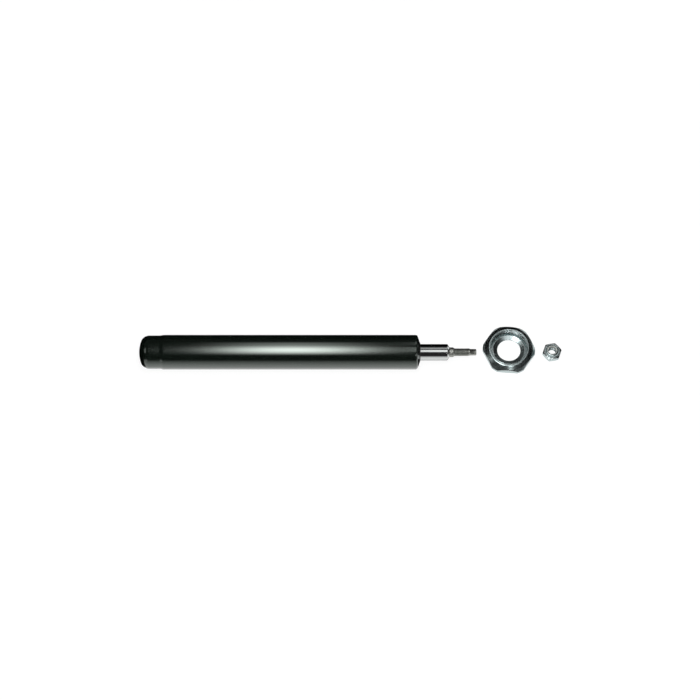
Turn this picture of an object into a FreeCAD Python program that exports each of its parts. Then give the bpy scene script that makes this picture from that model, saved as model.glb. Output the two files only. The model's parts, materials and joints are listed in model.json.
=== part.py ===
"""Twin-tube oil damper cartridge for a suspension strut, with its gland nut and its rod nut lying loose.

The cartridge lies along X. The origin is on its axis, at the lowest point of the domed foot, and the rod
comes out towards +X. The two nuts lie flat on the surface that the cartridge lies on. All sizes are in mm.
"""
import FreeCAD, Part
import math
import os

from FreeCAD import Vector

# Housing: one steel tube with a spun foot, a swaged neck and a lip rolled over the seal
HOUSING_OD = 43.0
HOUSING_WALL = 2.0
HOUSING_LENGTH = 344.0
NECK_OD = 41.5
NECK_LENGTH = 25.5
NECK_SWAGE_LENGTH = 5.0
CROWN_RADIUS = 40.5
KNUCKLE_RADIUS = 11.0
LIP_SLOPE_DEG = 19.5
LIP_BORE = 28.0
LIP_CORNER_RADIUS = 3.0

# Pressure tube
PRESSURE_BORE = 30.0
PRESSURE_WALL = 1.5

# Piston rod, with the stud that carries the top mount
ROD_DIAMETER = 20.0
ROD_EXPOSED = 37.0
ROD_SHOULDER_LENGTH = 2.5
COLLAR_DIAMETER = 12.0
COLLAR_LENGTH = 5.6
STUD_DIAMETER = 10.0
STUD_LENGTH = 20.3
STUD_POINT_LENGTH = 2.4
TIP_ACROSS_FLATS = 7.0
TIP_LENGTH = 7.1
TIP_BEVEL = 0.8
SPIGOT_DIAMETER = 10.0
SPIGOT_BEVEL = 1.0
SPIGOT_PROUD = 1.5

# Travel of the rod from where it rests, and what is left beyond it
STROKE_IN = 5.0
STROKE_OUT = 150.0
STROKE_RESERVE = 1.0

# Clearances: radial unless the name says otherwise
RUNNING_GAP = 0.04
FIT_GAP = 0.05
SLIDE_GAP = 0.10
FACE_GAP = 0.05

# Rod guide, its bush and its static seal
GUIDE_FLANGE_LENGTH = 14.0
GUIDE_SPIGOT_LENGTH = 10.0
GUIDE_BEVEL = 1.0
BUSH_WALL = 1.5
BUSH_LENGTH = 15.0
BUSH_BEVEL = 0.4
SEAL_POCKET_DIAMETER = 28.8
SEAL_POCKET_DEPTH = 7.0
DRAIN_COUNT = 3
DRAIN_WIDTH = 4.0
DRAIN_DEPTH = 1.4
DRAIN_HOLE_DIAMETER = 2.2
O_RING_SECTION = 2.3

# Rod seal and the steel carrier under the rolled lip
CARRIER_BORE = 26.4
CARRIER_HEIGHT = 5.5
CARRIER_CORNER = 1.3
SEAL_LIP_DIAMETER = 24.6
SEAL_LIP_LENGTH = 5.0
SEAL_LIP_FLARE = 0.9
SEAL_NOSE_WALL = 0.5
SEAL_NOSE_LENGTH = 0.6
SEAL_RELIEF = 1.4
SEAL_RELIEF_LENGTH = 2.0
MAIN_LIP_PLACE = 2.6
GARTER_WIRE = 1.4
GARTER_PLACE = 3.2

# Foot valve
FOOT_SKIRT_OD = 32.0
FOOT_SKIRT_WALL = 3.5
FOOT_SKIRT_HEIGHT = 7.5
FOOT_SLOT_COUNT = 4
FOOT_SLOT_WIDTH = 6.0
FOOT_SLOT_HEIGHT = 5.0
FOOT_FLANGE_THICKNESS = 3.0
FOOT_WEB_THICKNESS = 7.0
FOOT_INTAKE_COUNT = 8
FOOT_INTAKE_DIAMETER = 3.0
FOOT_INTAKE_CIRCLE = 21.0
FOOT_BLEED_COUNT = 6
FOOT_BLEED_DIAMETER = 2.0
FOOT_BLEED_CIRCLE = 12.0
FOOT_BOLT_DIAMETER = 6.0
FOOT_BOLT_GUIDE_DIAMETER = 7.0
FOOT_BOLT_HEAD_DIAMETER = 12.0
FOOT_BOLT_HEAD_HEIGHT = 3.0
FOOT_BOLT_PROUD = 1.0
FOOT_SHIM_COUNT = 3
FOOT_SHIM_THICKNESS = 0.3
FOOT_SHIM_DIAMETER = 16.0
FOOT_SHIM_STEP = 1.6
FOOT_WASHER_DIAMETER = 11.0
FOOT_WASHER_THICKNESS = 1.0
FOOT_NUT_ACROSS_FLATS = 10.0
FOOT_NUT_HEIGHT = 4.0

# Intake plates and their finger springs, on the foot valve and on the piston
PLATE_THICKNESS = 0.8
FOOT_PLATE_DIAMETER = 26.4
PISTON_PLATE_DIAMETER = 28.0
FINGER_SPRING_HEIGHT = 2.2
FINGER_SPRING_STRIP = 0.3
FINGER_SPRING_HUB_WIDTH = 2.0
FINGER_COUNT = 6
FINGER_SLOT_WIDTH = 3.2
FOOT_FINGER_DIAMETER = 24.0
PISTON_FINGER_DIAMETER = 25.0

# Piston, its guide band and its rebound valve
PISTON_DIAMETER = 29.6
PISTON_LENGTH = 14.0
PISTON_BEVEL = 0.6
BAND_WIDTH = 8.0
BAND_THICKNESS = 0.85
BAND_SPLIT = 0.6
REBOUND_PORT_COUNT = 6
REBOUND_PORT_DIAMETER = 2.6
REBOUND_PORT_CIRCLE = 19.2
INTAKE_PORT_COUNT = 12
INTAKE_PORT_DIAMETER = 1.8
INTAKE_PORT_CIRCLE = 25.2
PORT_GROOVE_DEPTH = 0.8
PORT_GROOVE_MARGIN = 0.2
STOP_SLEEVE_WALL = 1.0
STOP_FLANGE_DIAMETER = 24.0
STOP_FLANGE_THICKNESS = 1.5
SHIM_COUNT = 3
SHIM_THICKNESS = 0.4
SHIM_DIAMETER = 22.6
SPRING_SEAT_DIAMETER = 21.8
SPRING_SEAT_THICKNESS = 1.5
SPRING_WIRE = 2.2
SPRING_MEAN_DIAMETER = 19.0
SPRING_TURNS = 3.0
PISTON_NUT_NECK_DIAMETER = 15.0
PISTON_NUT_NECK_LENGTH = 14.0
PISTON_NUT_ACROSS_FLATS = 22.0
PISTON_NUT_FLANGE_HEIGHT = 5.0

# Rebound stop on the rod
STOP_CLIP_SECTION = 1.5
STOP_CLIP_DEPTH = 0.75
STOP_CLIP_OD = 23.0
STOP_CLIP_SPLIT = 3.0
STOP_COLLAR_DIAMETER = 27.0
STOP_COLLAR_THICKNESS = 3.0
BUMPER_DIAMETER = 28.0
BUMPER_LENGTH = 8.0
BUMPER_CROWN = 2.5

# Gland nut: screws on the strut tube and holds the cartridge down
GLAND_ACROSS_FLATS = 60.0
GLAND_CORNER_DIAMETER = 65.0
GLAND_HEIGHT = 11.0
GLAND_THREAD_BORE = 46.4
GLAND_ENTRY_BEVEL = 0.5
GLAND_RELIEF_DIAMETER = 47.8
GLAND_RELIEF_WIDTH = 1.7
GLAND_ROD_HOLE = 28.6
GLAND_HOLE_DEPTH = 2.2
GLAND_HOLE_BEVEL = 0.6
GLAND_SEAT_DIAMETER = 39.0
GLAND_FLOOR = 2.6
GLAND_FACE_DIAMETER = 48.0
GLAND_SHOULDER_RADIUS = 3.0
GLAND_CROWN_DEG = 40.0
GLAND_CROWN_DIAMETER = 59.2
GLAND_CORNER_HEIGHT = 4.1
GLAND_FOOT_BEVEL = 0.8
GLAND_X = 455.3
GLAND_Y = 11.7
GLAND_TURN_DEG = -4.5

# Rod nut: self-locking, with a captive nylon ring in its crown
LOCK_ACROSS_FLATS = 21.0
LOCK_HEX_HEIGHT = 7.2
LOCK_HEIGHT = 10.6
LOCK_THREAD_BORE = 8.7
LOCK_ENTRY_BEVEL = 0.8
LOCK_FACE_DIAMETER = 19.6
LOCK_CROWN_DIAMETER = 17.2
LOCK_CROWN_WALL = 0.9
LOCK_CROWN_BORE = 12.8
LOCK_INSERT_BORE = 9.4
LOCK_X = 508.4
LOCK_Y = 8.2
LOCK_TURN_DEG = 10.5

HEX_BEVEL_DEG = 30.0

# Radii and places that follow from the sizes above
AXIS = Vector(1, 0, 0)
CENTRE = Vector(0, 0, 0)
housing_r = HOUSING_OD / 2
housing_inner_r = housing_r - HOUSING_WALL
neck_r = NECK_OD / 2
lip_r = LIP_BORE / 2
rod_r = ROD_DIAMETER / 2
rod_run_r = rod_r + RUNNING_GAP
rod_fit_r = rod_r + FIT_GAP
spigot_fit_r = SPIGOT_DIAMETER / 2 + FIT_GAP
pressure_r = PRESSURE_BORE / 2
pressure_outer_r = pressure_r + PRESSURE_WALL
floor_z = -housing_r

slope = math.radians(LIP_SLOPE_DEG)
knuckle_ring_r = neck_r - KNUCKLE_RADIUS
knuckle_angle = math.asin(knuckle_ring_r / (CROWN_RADIUS - KNUCKLE_RADIUS))
knuckle_x = CROWN_RADIUS - (CROWN_RADIUS - KNUCKLE_RADIUS) * math.cos(knuckle_angle)


def lip_outer_x(radius):
    """Place along the axis of the rolled lip's outer cone, at a radius."""
    return HOUSING_LENGTH - (radius - lip_r) * math.tan(slope)


def lip_inner_x(radius):
    """Place along the axis of the rolled lip's inner cone, one wall inside the outer one."""
    return lip_outer_x(radius) - HOUSING_WALL / math.cos(slope)


def crown_point(inset, angle):
    """Point on the foot's crown, inset from its outer face, at an angle from the axis."""
    radius = CROWN_RADIUS - inset
    return CROWN_RADIUS - radius * math.cos(angle), radius * math.sin(angle)


def knuckle_point(inset, angle):
    """Point on the round knuckle between the crown and the neck, inset from its outer face."""
    radius = KNUCKLE_RADIUS - inset
    return knuckle_x - radius * math.cos(angle), knuckle_ring_r + radius * math.sin(angle)


def foot_x(radius, inset):
    """Place along the axis of the foot's knuckle, inset from its outer face, at a radius."""
    knuckle = KNUCKLE_RADIUS - inset
    return knuckle_x - math.sqrt(knuckle ** 2 - (radius - knuckle_ring_r) ** 2)


# Foot valve, from its seat in the foot upwards
foot_seat_x = foot_x(FOOT_SKIRT_OD / 2, HOUSING_WALL) + FACE_GAP
foot_web_x = foot_seat_x + FOOT_SKIRT_HEIGHT
pressure_start_x = foot_web_x + FOOT_FLANGE_THICKNESS
foot_top_x = foot_web_x + FOOT_WEB_THICKNESS
foot_plate_top_x = foot_top_x + PLATE_THICKNESS
foot_head_x = foot_plate_top_x + FINGER_SPRING_HEIGHT
foot_head_top_x = foot_head_x + FOOT_BOLT_HEAD_HEIGHT
foot_washer_x = foot_web_x - FOOT_SHIM_COUNT * FOOT_SHIM_THICKNESS - FOOT_WASHER_THICKNESS
foot_nut_x = foot_washer_x - FOOT_NUT_HEIGHT

# Rod guide and seal, from the rolled lip downwards
guide_top_x = lip_inner_x(lip_r) - CARRIER_HEIGHT
guide_shoulder_x = guide_top_x - GUIDE_FLANGE_LENGTH
guide_bottom_x = guide_shoulder_x - GUIDE_SPIGOT_LENGTH
bush_r = rod_run_r + BUSH_WALL
guide_r = housing_inner_r - FIT_GAP
pocket_floor_x = guide_top_x - SEAL_POCKET_DEPTH

# Piston, from the foot valve upwards
rod_end_x = foot_head_top_x + STROKE_IN + STROKE_RESERVE
piston_nut_x = rod_end_x + SPIGOT_PROUD
piston_neck_x = piston_nut_x + PISTON_NUT_FLANGE_HEIGHT
piston_x = piston_neck_x + PISTON_NUT_NECK_LENGTH
piston_top_x = piston_x + PISTON_LENGTH
piston_plate_top_x = piston_top_x + PLATE_THICKNESS
stop_flange_x = piston_plate_top_x + FINGER_SPRING_HEIGHT
rod_start_x = stop_flange_x + STOP_FLANGE_THICKNESS
stop_sleeve_r = spigot_fit_r + STOP_SLEEVE_WALL
shim_bottom_x = piston_x - SHIM_COUNT * SHIM_THICKNESS
spring_seat_x = shim_bottom_x - SPRING_SEAT_THICKNESS
band_outer_r = pressure_r - RUNNING_GAP
band_inner_r = band_outer_r - BAND_THICKNESS
band_start_x = piston_x + (PISTON_LENGTH - BAND_WIDTH) / 2

# Rod, up to its stud, and the rebound stop on it
collar_x = HOUSING_LENGTH + ROD_EXPOSED
stud_x = collar_x + COLLAR_LENGTH
tip_x = stud_x + STUD_LENGTH
rod_tip_x = tip_x + TIP_LENGTH
bumper_top_x = guide_bottom_x - STROKE_OUT - STROKE_RESERVE
bumper_x = bumper_top_x - BUMPER_LENGTH
stop_collar_x = bumper_x - STOP_COLLAR_THICKNESS
clip_x = stop_collar_x - STOP_CLIP_SECTION


def turned(start, *steps):
    """Solid of revolution about the X axis from an outline of (x, radius) points.

    A step is the next point, for a straight stretch, or a pair (point on the way, next point) for an arc.
    """
    def placed(point):
        return Vector(point[0], 0, point[1])

    edges = []
    here = start
    for step in steps:
        if isinstance(step[0], tuple):
            edges.append(Part.Arc(placed(here), placed(step[0]), placed(step[1])).toShape())
            here = step[1]
        else:
            edges.append(Part.LineSegment(placed(here), placed(step)).toShape())
            here = step
    edges.append(Part.LineSegment(placed(here), placed(start)).toShape())
    return Part.Face(Part.Wire(edges)).revolve(CENTRE, AXIS, 360)


def tube(start_x, end_x, inner_r, outer_r, bevel=0.0):
    """Plain ring or tube along X, with an optional bevel on its outer edges."""
    if not bevel:
        return turned((start_x, inner_r), (end_x, inner_r), (end_x, outer_r), (start_x, outer_r))
    return turned(
        (start_x, inner_r),
        (end_x, inner_r),
        (end_x, outer_r - bevel),
        (end_x - bevel, outer_r),
        (start_x + bevel, outer_r),
        (start_x, outer_r - bevel),
    )


def ogee(start, end):
    """Two equal tangent arcs that carry an outline from one radius to another, as a swaged step does."""
    length = end[0] - start[0]
    rise = end[1] - start[1]
    radius = (length ** 2 + rise ** 2) / (4 * abs(rise))
    half_turn = math.asin(length / 2 / radius) / 2
    along = radius * math.sin(half_turn)
    away = math.copysign(radius * (1 - math.cos(half_turn)), rise)
    middle = (start[0] + length / 2, start[1] + rise / 2)
    return (
        ((start[0] + along, start[1] + away), middle),
        ((end[0] - along, end[1] - away), end),
    )


def bar(start_x, end_x, diameter, offset=0.0):
    """Round bar along X, at an offset from the axis."""
    return Part.makeCylinder(diameter / 2, end_x - start_x, Vector(start_x, 0, offset), AXIS)


def around(shape, count, first_deg=0.0):
    """Copies of a shape, evenly spaced about the X axis."""
    copies = []
    for index in range(count):
        copy = shape.copy()
        copy.rotate(CENTRE, AXIS, first_deg + 360.0 * index / count)
        copies.append(copy)
    return copies


def hexagon(start_x, end_x, across_flats):
    """Hexagonal bar along X with one corner towards +Z."""
    corner_r = across_flats / math.sqrt(3)
    corners = []
    for index in range(7):
        angle = math.radians(60 * index)
        corners.append(Vector(start_x, corner_r * math.sin(angle), corner_r * math.cos(angle)))
    return Part.Face(Part.makePolygon(corners)).extrude(Vector(end_x - start_x, 0, 0))


def hex_bevel(across_flats, face_diameter):
    """Height that a nut's bevel takes between its face circle and the corners of its hexagon."""
    return (across_flats / math.sqrt(3) - face_diameter / 2) * math.tan(math.radians(HEX_BEVEL_DEG))


def laid_on_floor(shape, x, y, turn_deg):
    """Stand a piece made from x = 0 upwards along X on the floor, with its axis along Z."""
    shape.rotate(CENTRE, Vector(0, 1, 0), -90)
    shape.rotate(CENTRE, Vector(0, 0, 1), turn_deg)
    shape.translate(Vector(x, y, floor_z))
    return shape


def lip_corner(radius):
    """Arc of the housing's rolled corner: where it leaves the wall, its middle and where it meets the lip."""
    centre_r = housing_r - LIP_CORNER_RADIUS
    centre_x = lip_outer_x(centre_r) - LIP_CORNER_RADIUS / math.cos(slope)
    points = []
    for angle in (math.pi / 2, (math.pi / 2 + slope) / 2, slope):
        points.append((centre_x + radius * math.cos(angle), centre_r + radius * math.sin(angle)))
    return points


def make_reserve_tube():
    """Housing: domed foot, swaged neck, plain tube and a lip rolled in over the seal carrier."""
    swage_end_x = NECK_LENGTH + NECK_SWAGE_LENGTH
    neck_inner_r = neck_r - HOUSING_WALL
    knuckle_middle = (knuckle_angle + math.pi / 2) / 2
    outer_wall, outer_mid, outer_lip = lip_corner(LIP_CORNER_RADIUS)
    inner_wall, inner_mid, inner_lip = lip_corner(LIP_CORNER_RADIUS - HOUSING_WALL)
    inner_swage = ogee((NECK_LENGTH, neck_inner_r), (swage_end_x, housing_inner_r))
    return turned(
        (0.0, 0.0),
        (crown_point(0, knuckle_angle / 2), crown_point(0, knuckle_angle)),
        (knuckle_point(0, knuckle_middle), knuckle_point(0, math.pi / 2)),
        (NECK_LENGTH, neck_r),
        *ogee((NECK_LENGTH, neck_r), (swage_end_x, housing_r)),
        outer_wall,
        (outer_mid, outer_lip),
        (HOUSING_LENGTH, lip_r),
        (lip_inner_x(lip_r), lip_r),
        inner_lip,
        (inner_mid, inner_wall),
        (swage_end_x, housing_inner_r),
        (inner_swage[1][0], inner_swage[0][1]),
        (inner_swage[0][0], (NECK_LENGTH, neck_inner_r)),
        knuckle_point(HOUSING_WALL, math.pi / 2),
        (knuckle_point(HOUSING_WALL, knuckle_middle), knuckle_point(HOUSING_WALL, knuckle_angle)),
        (crown_point(HOUSING_WALL, knuckle_angle / 2), (HOUSING_WALL, 0.0)),
    )


def make_pressure_tube():
    """Inner tube that the piston runs in, held between the foot valve and the rod guide."""
    return tube(pressure_start_x, guide_shoulder_x, pressure_r, pressure_outer_r)


def make_seal_carrier():
    """Steel ring under the rolled lip: its top is a cone that the lip presses on."""
    inner_r = CARRIER_BORE / 2
    shoulder_r = guide_r - CARRIER_CORNER
    return turned(
        (guide_top_x, inner_r),
        (lip_inner_x(inner_r) - FACE_GAP, inner_r),
        (lip_inner_x(shoulder_r) - FACE_GAP, shoulder_r),
        (lip_inner_x(guide_r) - FACE_GAP - CARRIER_CORNER, guide_r),
        (guide_top_x, guide_r),
    )


def make_rod_seal():
    """Rubber seal with a dust lip outside and an oil lip, gripped by a garter spring, inside."""
    outer_r = CARRIER_BORE / 2 - FIT_GAP
    lip_outer_r = SEAL_LIP_DIAMETER / 2
    nose_r = rod_run_r + SEAL_NOSE_WALL
    nose_x = lip_outer_x(nose_r)
    lip_end_x = guide_top_x - SEAL_LIP_LENGTH
    garter_x = guide_top_x - GARTER_PLACE
    groove_r = GARTER_WIRE / 2 + FIT_GAP
    relief_r = rod_run_r + SEAL_RELIEF
    return turned(
        (lip_end_x, rod_run_r + SEAL_LIP_FLARE),
        (lip_end_x, lip_outer_r),
        (garter_x - groove_r, lip_outer_r),
        ((garter_x, lip_outer_r - groove_r), (garter_x + groove_r, lip_outer_r)),
        (guide_top_x, lip_outer_r),
        (guide_top_x, outer_r),
        (lip_outer_x(outer_r), outer_r),
        (nose_x, nose_r),
        (nose_x - SEAL_NOSE_LENGTH, rod_run_r),
        (nose_x - SEAL_NOSE_LENGTH - SEAL_RELIEF_LENGTH, relief_r),
        (guide_top_x, relief_r),
        (guide_top_x - MAIN_LIP_PLACE, rod_run_r),
    )


def make_garter_spring():
    """Closed ring of fine coil round the oil lip."""
    place = Vector(guide_top_x - GARTER_PLACE, 0, 0)
    return Part.makeTorus(SEAL_LIP_DIAMETER / 2, GARTER_WIRE / 2, place, AXIS)


def make_rod_guide():
    """Sintered guide: flange in the housing, spigot in the pressure tube, pocket for the oil lip, drains."""
    spigot_r = pressure_r - FIT_GAP
    bore_r = bush_r + FIT_GAP
    rebate = O_RING_SECTION + 2 * FIT_GAP
    pocket_r = SEAL_POCKET_DIAMETER / 2
    body = turned(
        (guide_bottom_x, bore_r),
        (guide_bottom_x, spigot_r - GUIDE_BEVEL),
        (guide_bottom_x + GUIDE_BEVEL, spigot_r),
        (guide_shoulder_x, spigot_r),
        (guide_shoulder_x, guide_r - GUIDE_BEVEL),
        (guide_shoulder_x + GUIDE_BEVEL, guide_r),
        (guide_top_x - rebate, guide_r),
        (guide_top_x - rebate, guide_r - rebate),
        (guide_top_x, guide_r - rebate),
        (guide_top_x, pocket_r),
        (pocket_floor_x, pocket_r),
        (pocket_floor_x, bore_r),
    )
    drain_x = pocket_floor_x + DRAIN_HOLE_DIAMETER
    slot = Part.makeBox(
        drain_x + DRAIN_HOLE_DIAMETER - guide_shoulder_x,
        DRAIN_WIDTH,
        2 * DRAIN_DEPTH,
        Vector(guide_shoulder_x, -DRAIN_WIDTH / 2, guide_r - DRAIN_DEPTH),
    )
    hole = Part.makeCylinder(DRAIN_HOLE_DIAMETER / 2, guide_r, Vector(drain_x, 0, 0), Vector(0, 0, 1))
    return body.cut(around(slot, DRAIN_COUNT) + around(hole, DRAIN_COUNT))


def make_guide_bush():
    """Plain bearing bush that the rod slides and turns in."""
    start_x = guide_bottom_x + GUIDE_BEVEL
    return tube(start_x, start_x + BUSH_LENGTH, rod_run_r, bush_r, BUSH_BEVEL)


def make_guide_o_ring():
    """Static seal in the corner between guide, carrier and housing."""
    section_r = O_RING_SECTION / 2
    place = Vector(guide_top_x - FIT_GAP - section_r, 0, 0)
    return Part.makeTorus(guide_r - FIT_GAP - section_r, section_r, place, AXIS)


def make_foot_valve_body():
    """Valve plate at the foot: slotted skirt on the dome, flange and spigot for the pressure tube, ports."""
    skirt_r = FOOT_SKIRT_OD / 2
    skirt_inner_r = skirt_r - FOOT_SKIRT_WALL
    bore_r = FOOT_BOLT_DIAMETER / 2 + FIT_GAP
    body = turned(
        (foot_seat_x, skirt_inner_r),
        (foot_seat_x, skirt_r),
        (foot_web_x, skirt_r),
        (foot_web_x, pressure_outer_r),
        (pressure_start_x, pressure_outer_r),
        (pressure_start_x, pressure_r - FIT_GAP),
        (foot_top_x, pressure_r - FIT_GAP),
        (foot_top_x, bore_r),
        (foot_web_x, bore_r),
        (foot_web_x, skirt_inner_r),
    )
    slot = Part.makeBox(
        FOOT_SLOT_HEIGHT, FOOT_SLOT_WIDTH, skirt_r, Vector(foot_seat_x, -FOOT_SLOT_WIDTH / 2, 0)
    )
    intake = bar(foot_web_x, foot_top_x, FOOT_INTAKE_DIAMETER, FOOT_INTAKE_CIRCLE / 2)
    bleed = bar(foot_web_x, foot_top_x, FOOT_BLEED_DIAMETER, FOOT_BLEED_CIRCLE / 2)
    cuts = around(slot, FOOT_SLOT_COUNT)
    cuts += around(intake, FOOT_INTAKE_COUNT)
    cuts += around(bleed, FOOT_BLEED_COUNT)
    return body.cut(cuts)


def make_foot_valve_bolt():
    """Bolt that holds the foot valve together and guides its intake plate."""
    stem_r = FOOT_BOLT_DIAMETER / 2
    guide_pin_r = FOOT_BOLT_GUIDE_DIAMETER / 2
    head_r = FOOT_BOLT_HEAD_DIAMETER / 2
    return turned(
        (foot_nut_x - FOOT_BOLT_PROUD, 0.0),
        (foot_nut_x - FOOT_BOLT_PROUD, stem_r),
        (foot_top_x, stem_r),
        (foot_top_x, guide_pin_r),
        (foot_head_x, guide_pin_r),
        (foot_head_x, head_r),
        (foot_head_top_x - FOOT_BOLT_PROUD, head_r),
        (foot_head_top_x, head_r - FOOT_BOLT_PROUD),
        (foot_head_top_x, 0.0),
    )


def make_foot_shims():
    """Stack of compression discs under the bleed ports, each smaller than the one above it."""
    discs = []
    for index in range(FOOT_SHIM_COUNT):
        top_x = foot_web_x - index * FOOT_SHIM_THICKNESS
        outer_r = (FOOT_SHIM_DIAMETER - index * FOOT_SHIM_STEP) / 2
        discs.append(tube(top_x - FOOT_SHIM_THICKNESS, top_x, FOOT_BOLT_DIAMETER / 2 + FIT_GAP, outer_r))
    return Part.makeCompound(discs)


def make_foot_washer():
    """Washer between the compression discs and their nut."""
    end_x = foot_washer_x + FOOT_WASHER_THICKNESS
    return tube(foot_washer_x, end_x, FOOT_BOLT_DIAMETER / 2 + FIT_GAP, FOOT_WASHER_DIAMETER / 2)


def make_foot_nut():
    """Hexagon nut on the foot valve's bolt."""
    bore = bar(foot_nut_x, foot_washer_x, FOOT_BOLT_DIAMETER + 2 * FIT_GAP)
    return hexagon(foot_nut_x, foot_washer_x, FOOT_NUT_ACROSS_FLATS).cut(bore)


def make_intake_plate(start_x, guide_pin_r, diameter, hole_count, hole_diameter, hole_circle):
    """Check plate over the intake ports, pierced where the flow the other way has to pass."""
    end_x = start_x + PLATE_THICKNESS
    plate = tube(start_x, end_x, guide_pin_r + SLIDE_GAP, diameter / 2)
    hole = bar(start_x, end_x, hole_diameter, hole_circle / 2)
    return plate.cut(around(hole, hole_count))


def make_finger_spring(plate_x, stop_x, guide_pin_r, diameter):
    """Star spring: a flat hub under its stop and sloping fingers that press on the plate."""
    hub_r = guide_pin_r + SLIDE_GAP
    root_r = hub_r + FINGER_SPRING_HUB_WIDTH
    tip_r = diameter / 2
    low_x = plate_x + FACE_GAP
    cone = turned(
        (stop_x - FINGER_SPRING_STRIP, hub_r),
        (stop_x, hub_r),
        (stop_x, root_r),
        (low_x + FINGER_SPRING_STRIP, tip_r),
        (low_x, tip_r),
        (stop_x - FINGER_SPRING_STRIP, root_r),
    )
    slot = Part.makeBox(
        FINGER_SPRING_HEIGHT, FINGER_SLOT_WIDTH, tip_r, Vector(plate_x, -FINGER_SLOT_WIDTH / 2, root_r)
    )
    return cone.cut(around(slot, FINGER_COUNT))


def make_piston_rod():
    """Rod: threaded spigot for the piston, plain shaft with a clip groove, collar, stud and hexagon tip."""
    spigot_r = SPIGOT_DIAMETER / 2
    collar_r = COLLAR_DIAMETER / 2
    stud_r = STUD_DIAMETER / 2
    tip_r = TIP_ACROSS_FLATS / math.sqrt(3)
    groove_r = rod_r - STOP_CLIP_DEPTH
    shaft = turned(
        (rod_end_x, 0.0),
        (rod_end_x, spigot_r - SPIGOT_BEVEL),
        (rod_end_x + SPIGOT_BEVEL, spigot_r),
        (rod_start_x, spigot_r),
        (rod_start_x, rod_r),
        (clip_x - FACE_GAP, rod_r),
        (clip_x - FACE_GAP, groove_r),
        (stop_collar_x + FACE_GAP, groove_r),
        (stop_collar_x + FACE_GAP, rod_r),
        (collar_x - ROD_SHOULDER_LENGTH, rod_r),
        (collar_x, collar_r),
        (stud_x - (collar_r - stud_r), collar_r),
        (stud_x, stud_r),
        (tip_x - STUD_POINT_LENGTH, stud_r),
        (tip_x, tip_r),
        (tip_x, 0.0),
    )
    tip_form = turned(
        (tip_x, 0.0),
        (tip_x, tip_r),
        (rod_tip_x - TIP_BEVEL, tip_r),
        (rod_tip_x, tip_r - TIP_BEVEL),
        (rod_tip_x, 0.0),
    )
    tip = hexagon(tip_x, rod_tip_x, TIP_ACROSS_FLATS).common(tip_form)
    return shaft.fuse(tip).removeSplitter()


def make_piston():
    """Piston: groove for its band, rebound ports and intake ports, each ring of ports in a shallow groove."""
    outer_r = PISTON_DIAMETER / 2
    groove_r = band_inner_r - FIT_GAP
    groove_end_x = band_start_x + BAND_WIDTH
    body = turned(
        (piston_x, spigot_fit_r),
        (piston_x, outer_r - PISTON_BEVEL),
        (piston_x + PISTON_BEVEL, outer_r),
        (band_start_x, outer_r),
        (band_start_x, groove_r),
        (groove_end_x, groove_r),
        (groove_end_x, outer_r),
        (piston_top_x - PISTON_BEVEL, outer_r),
        (piston_top_x, outer_r - PISTON_BEVEL),
        (piston_top_x, spigot_fit_r),
    )
    rebound_r = REBOUND_PORT_CIRCLE / 2
    intake_r = INTAKE_PORT_CIRCLE / 2
    low_half = REBOUND_PORT_DIAMETER / 2 + PORT_GROOVE_MARGIN
    top_half = INTAKE_PORT_DIAMETER / 2 + PORT_GROOVE_MARGIN
    cuts = [
        tube(piston_x, piston_x + PORT_GROOVE_DEPTH, rebound_r - low_half, rebound_r + low_half),
        tube(piston_top_x - PORT_GROOVE_DEPTH, piston_top_x, intake_r - top_half, intake_r + top_half),
    ]
    cuts += around(bar(piston_x, piston_top_x, REBOUND_PORT_DIAMETER, rebound_r), REBOUND_PORT_COUNT)
    cuts += around(bar(piston_x, piston_top_x, INTAKE_PORT_DIAMETER, intake_r), INTAKE_PORT_COUNT)
    return body.cut(cuts)


def make_piston_band():
    """Split plastic band in the piston's groove, which runs on the pressure tube."""
    start_x = band_start_x + FACE_GAP
    end_x = band_start_x + BAND_WIDTH - FACE_GAP
    ring = tube(start_x, end_x, band_inner_r, band_outer_r)
    split = Part.makeBox(BAND_WIDTH, BAND_SPLIT, pressure_r, Vector(start_x, -BAND_SPLIT / 2, 0))
    return ring.cut(split)


def make_intake_stop():
    """Sleeve with a flange, clamped under the rod: it guides the piston's intake plate and stops it."""
    flange_r = STOP_FLANGE_DIAMETER / 2
    return turned(
        (piston_top_x, spigot_fit_r),
        (piston_top_x, stop_sleeve_r),
        (stop_flange_x, stop_sleeve_r),
        (stop_flange_x, flange_r),
        (rod_start_x, flange_r),
        (rod_start_x, spigot_fit_r),
    )


def make_rebound_shims():
    """Discs over the rebound ports, round the neck of the piston nut."""
    inner_r = PISTON_NUT_NECK_DIAMETER / 2 + SLIDE_GAP
    discs = []
    for index in range(SHIM_COUNT):
        top_x = piston_x - index * SHIM_THICKNESS
        discs.append(tube(top_x - SHIM_THICKNESS, top_x, inner_r, SHIM_DIAMETER / 2))
    return Part.makeCompound(discs)


def make_spring_seat():
    """Ring between the rebound spring and the discs."""
    inner_r = PISTON_NUT_NECK_DIAMETER / 2 + SLIDE_GAP
    return tube(spring_seat_x, shim_bottom_x, inner_r, SPRING_SEAT_DIAMETER / 2)


def make_rebound_spring():
    """Coil spring between the piston nut's flange and the spring seat."""
    mean_r = SPRING_MEAN_DIAMETER / 2
    height = spring_seat_x - piston_neck_x - SPRING_WIRE - 2 * FACE_GAP
    path = Part.makeHelix(height / SPRING_TURNS, height, mean_r)
    section = Part.Wire(Part.makeCircle(SPRING_WIRE / 2, Vector(mean_r, 0, 0), Vector(0, 1, 0)))
    coil = Part.Wire(path).makePipeShell([section], True, True)
    coil.rotate(CENTRE, Vector(0, 1, 0), 90)
    coil.translate(Vector(piston_neck_x + FACE_GAP + SPRING_WIRE / 2, 0, 0))
    return coil


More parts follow.
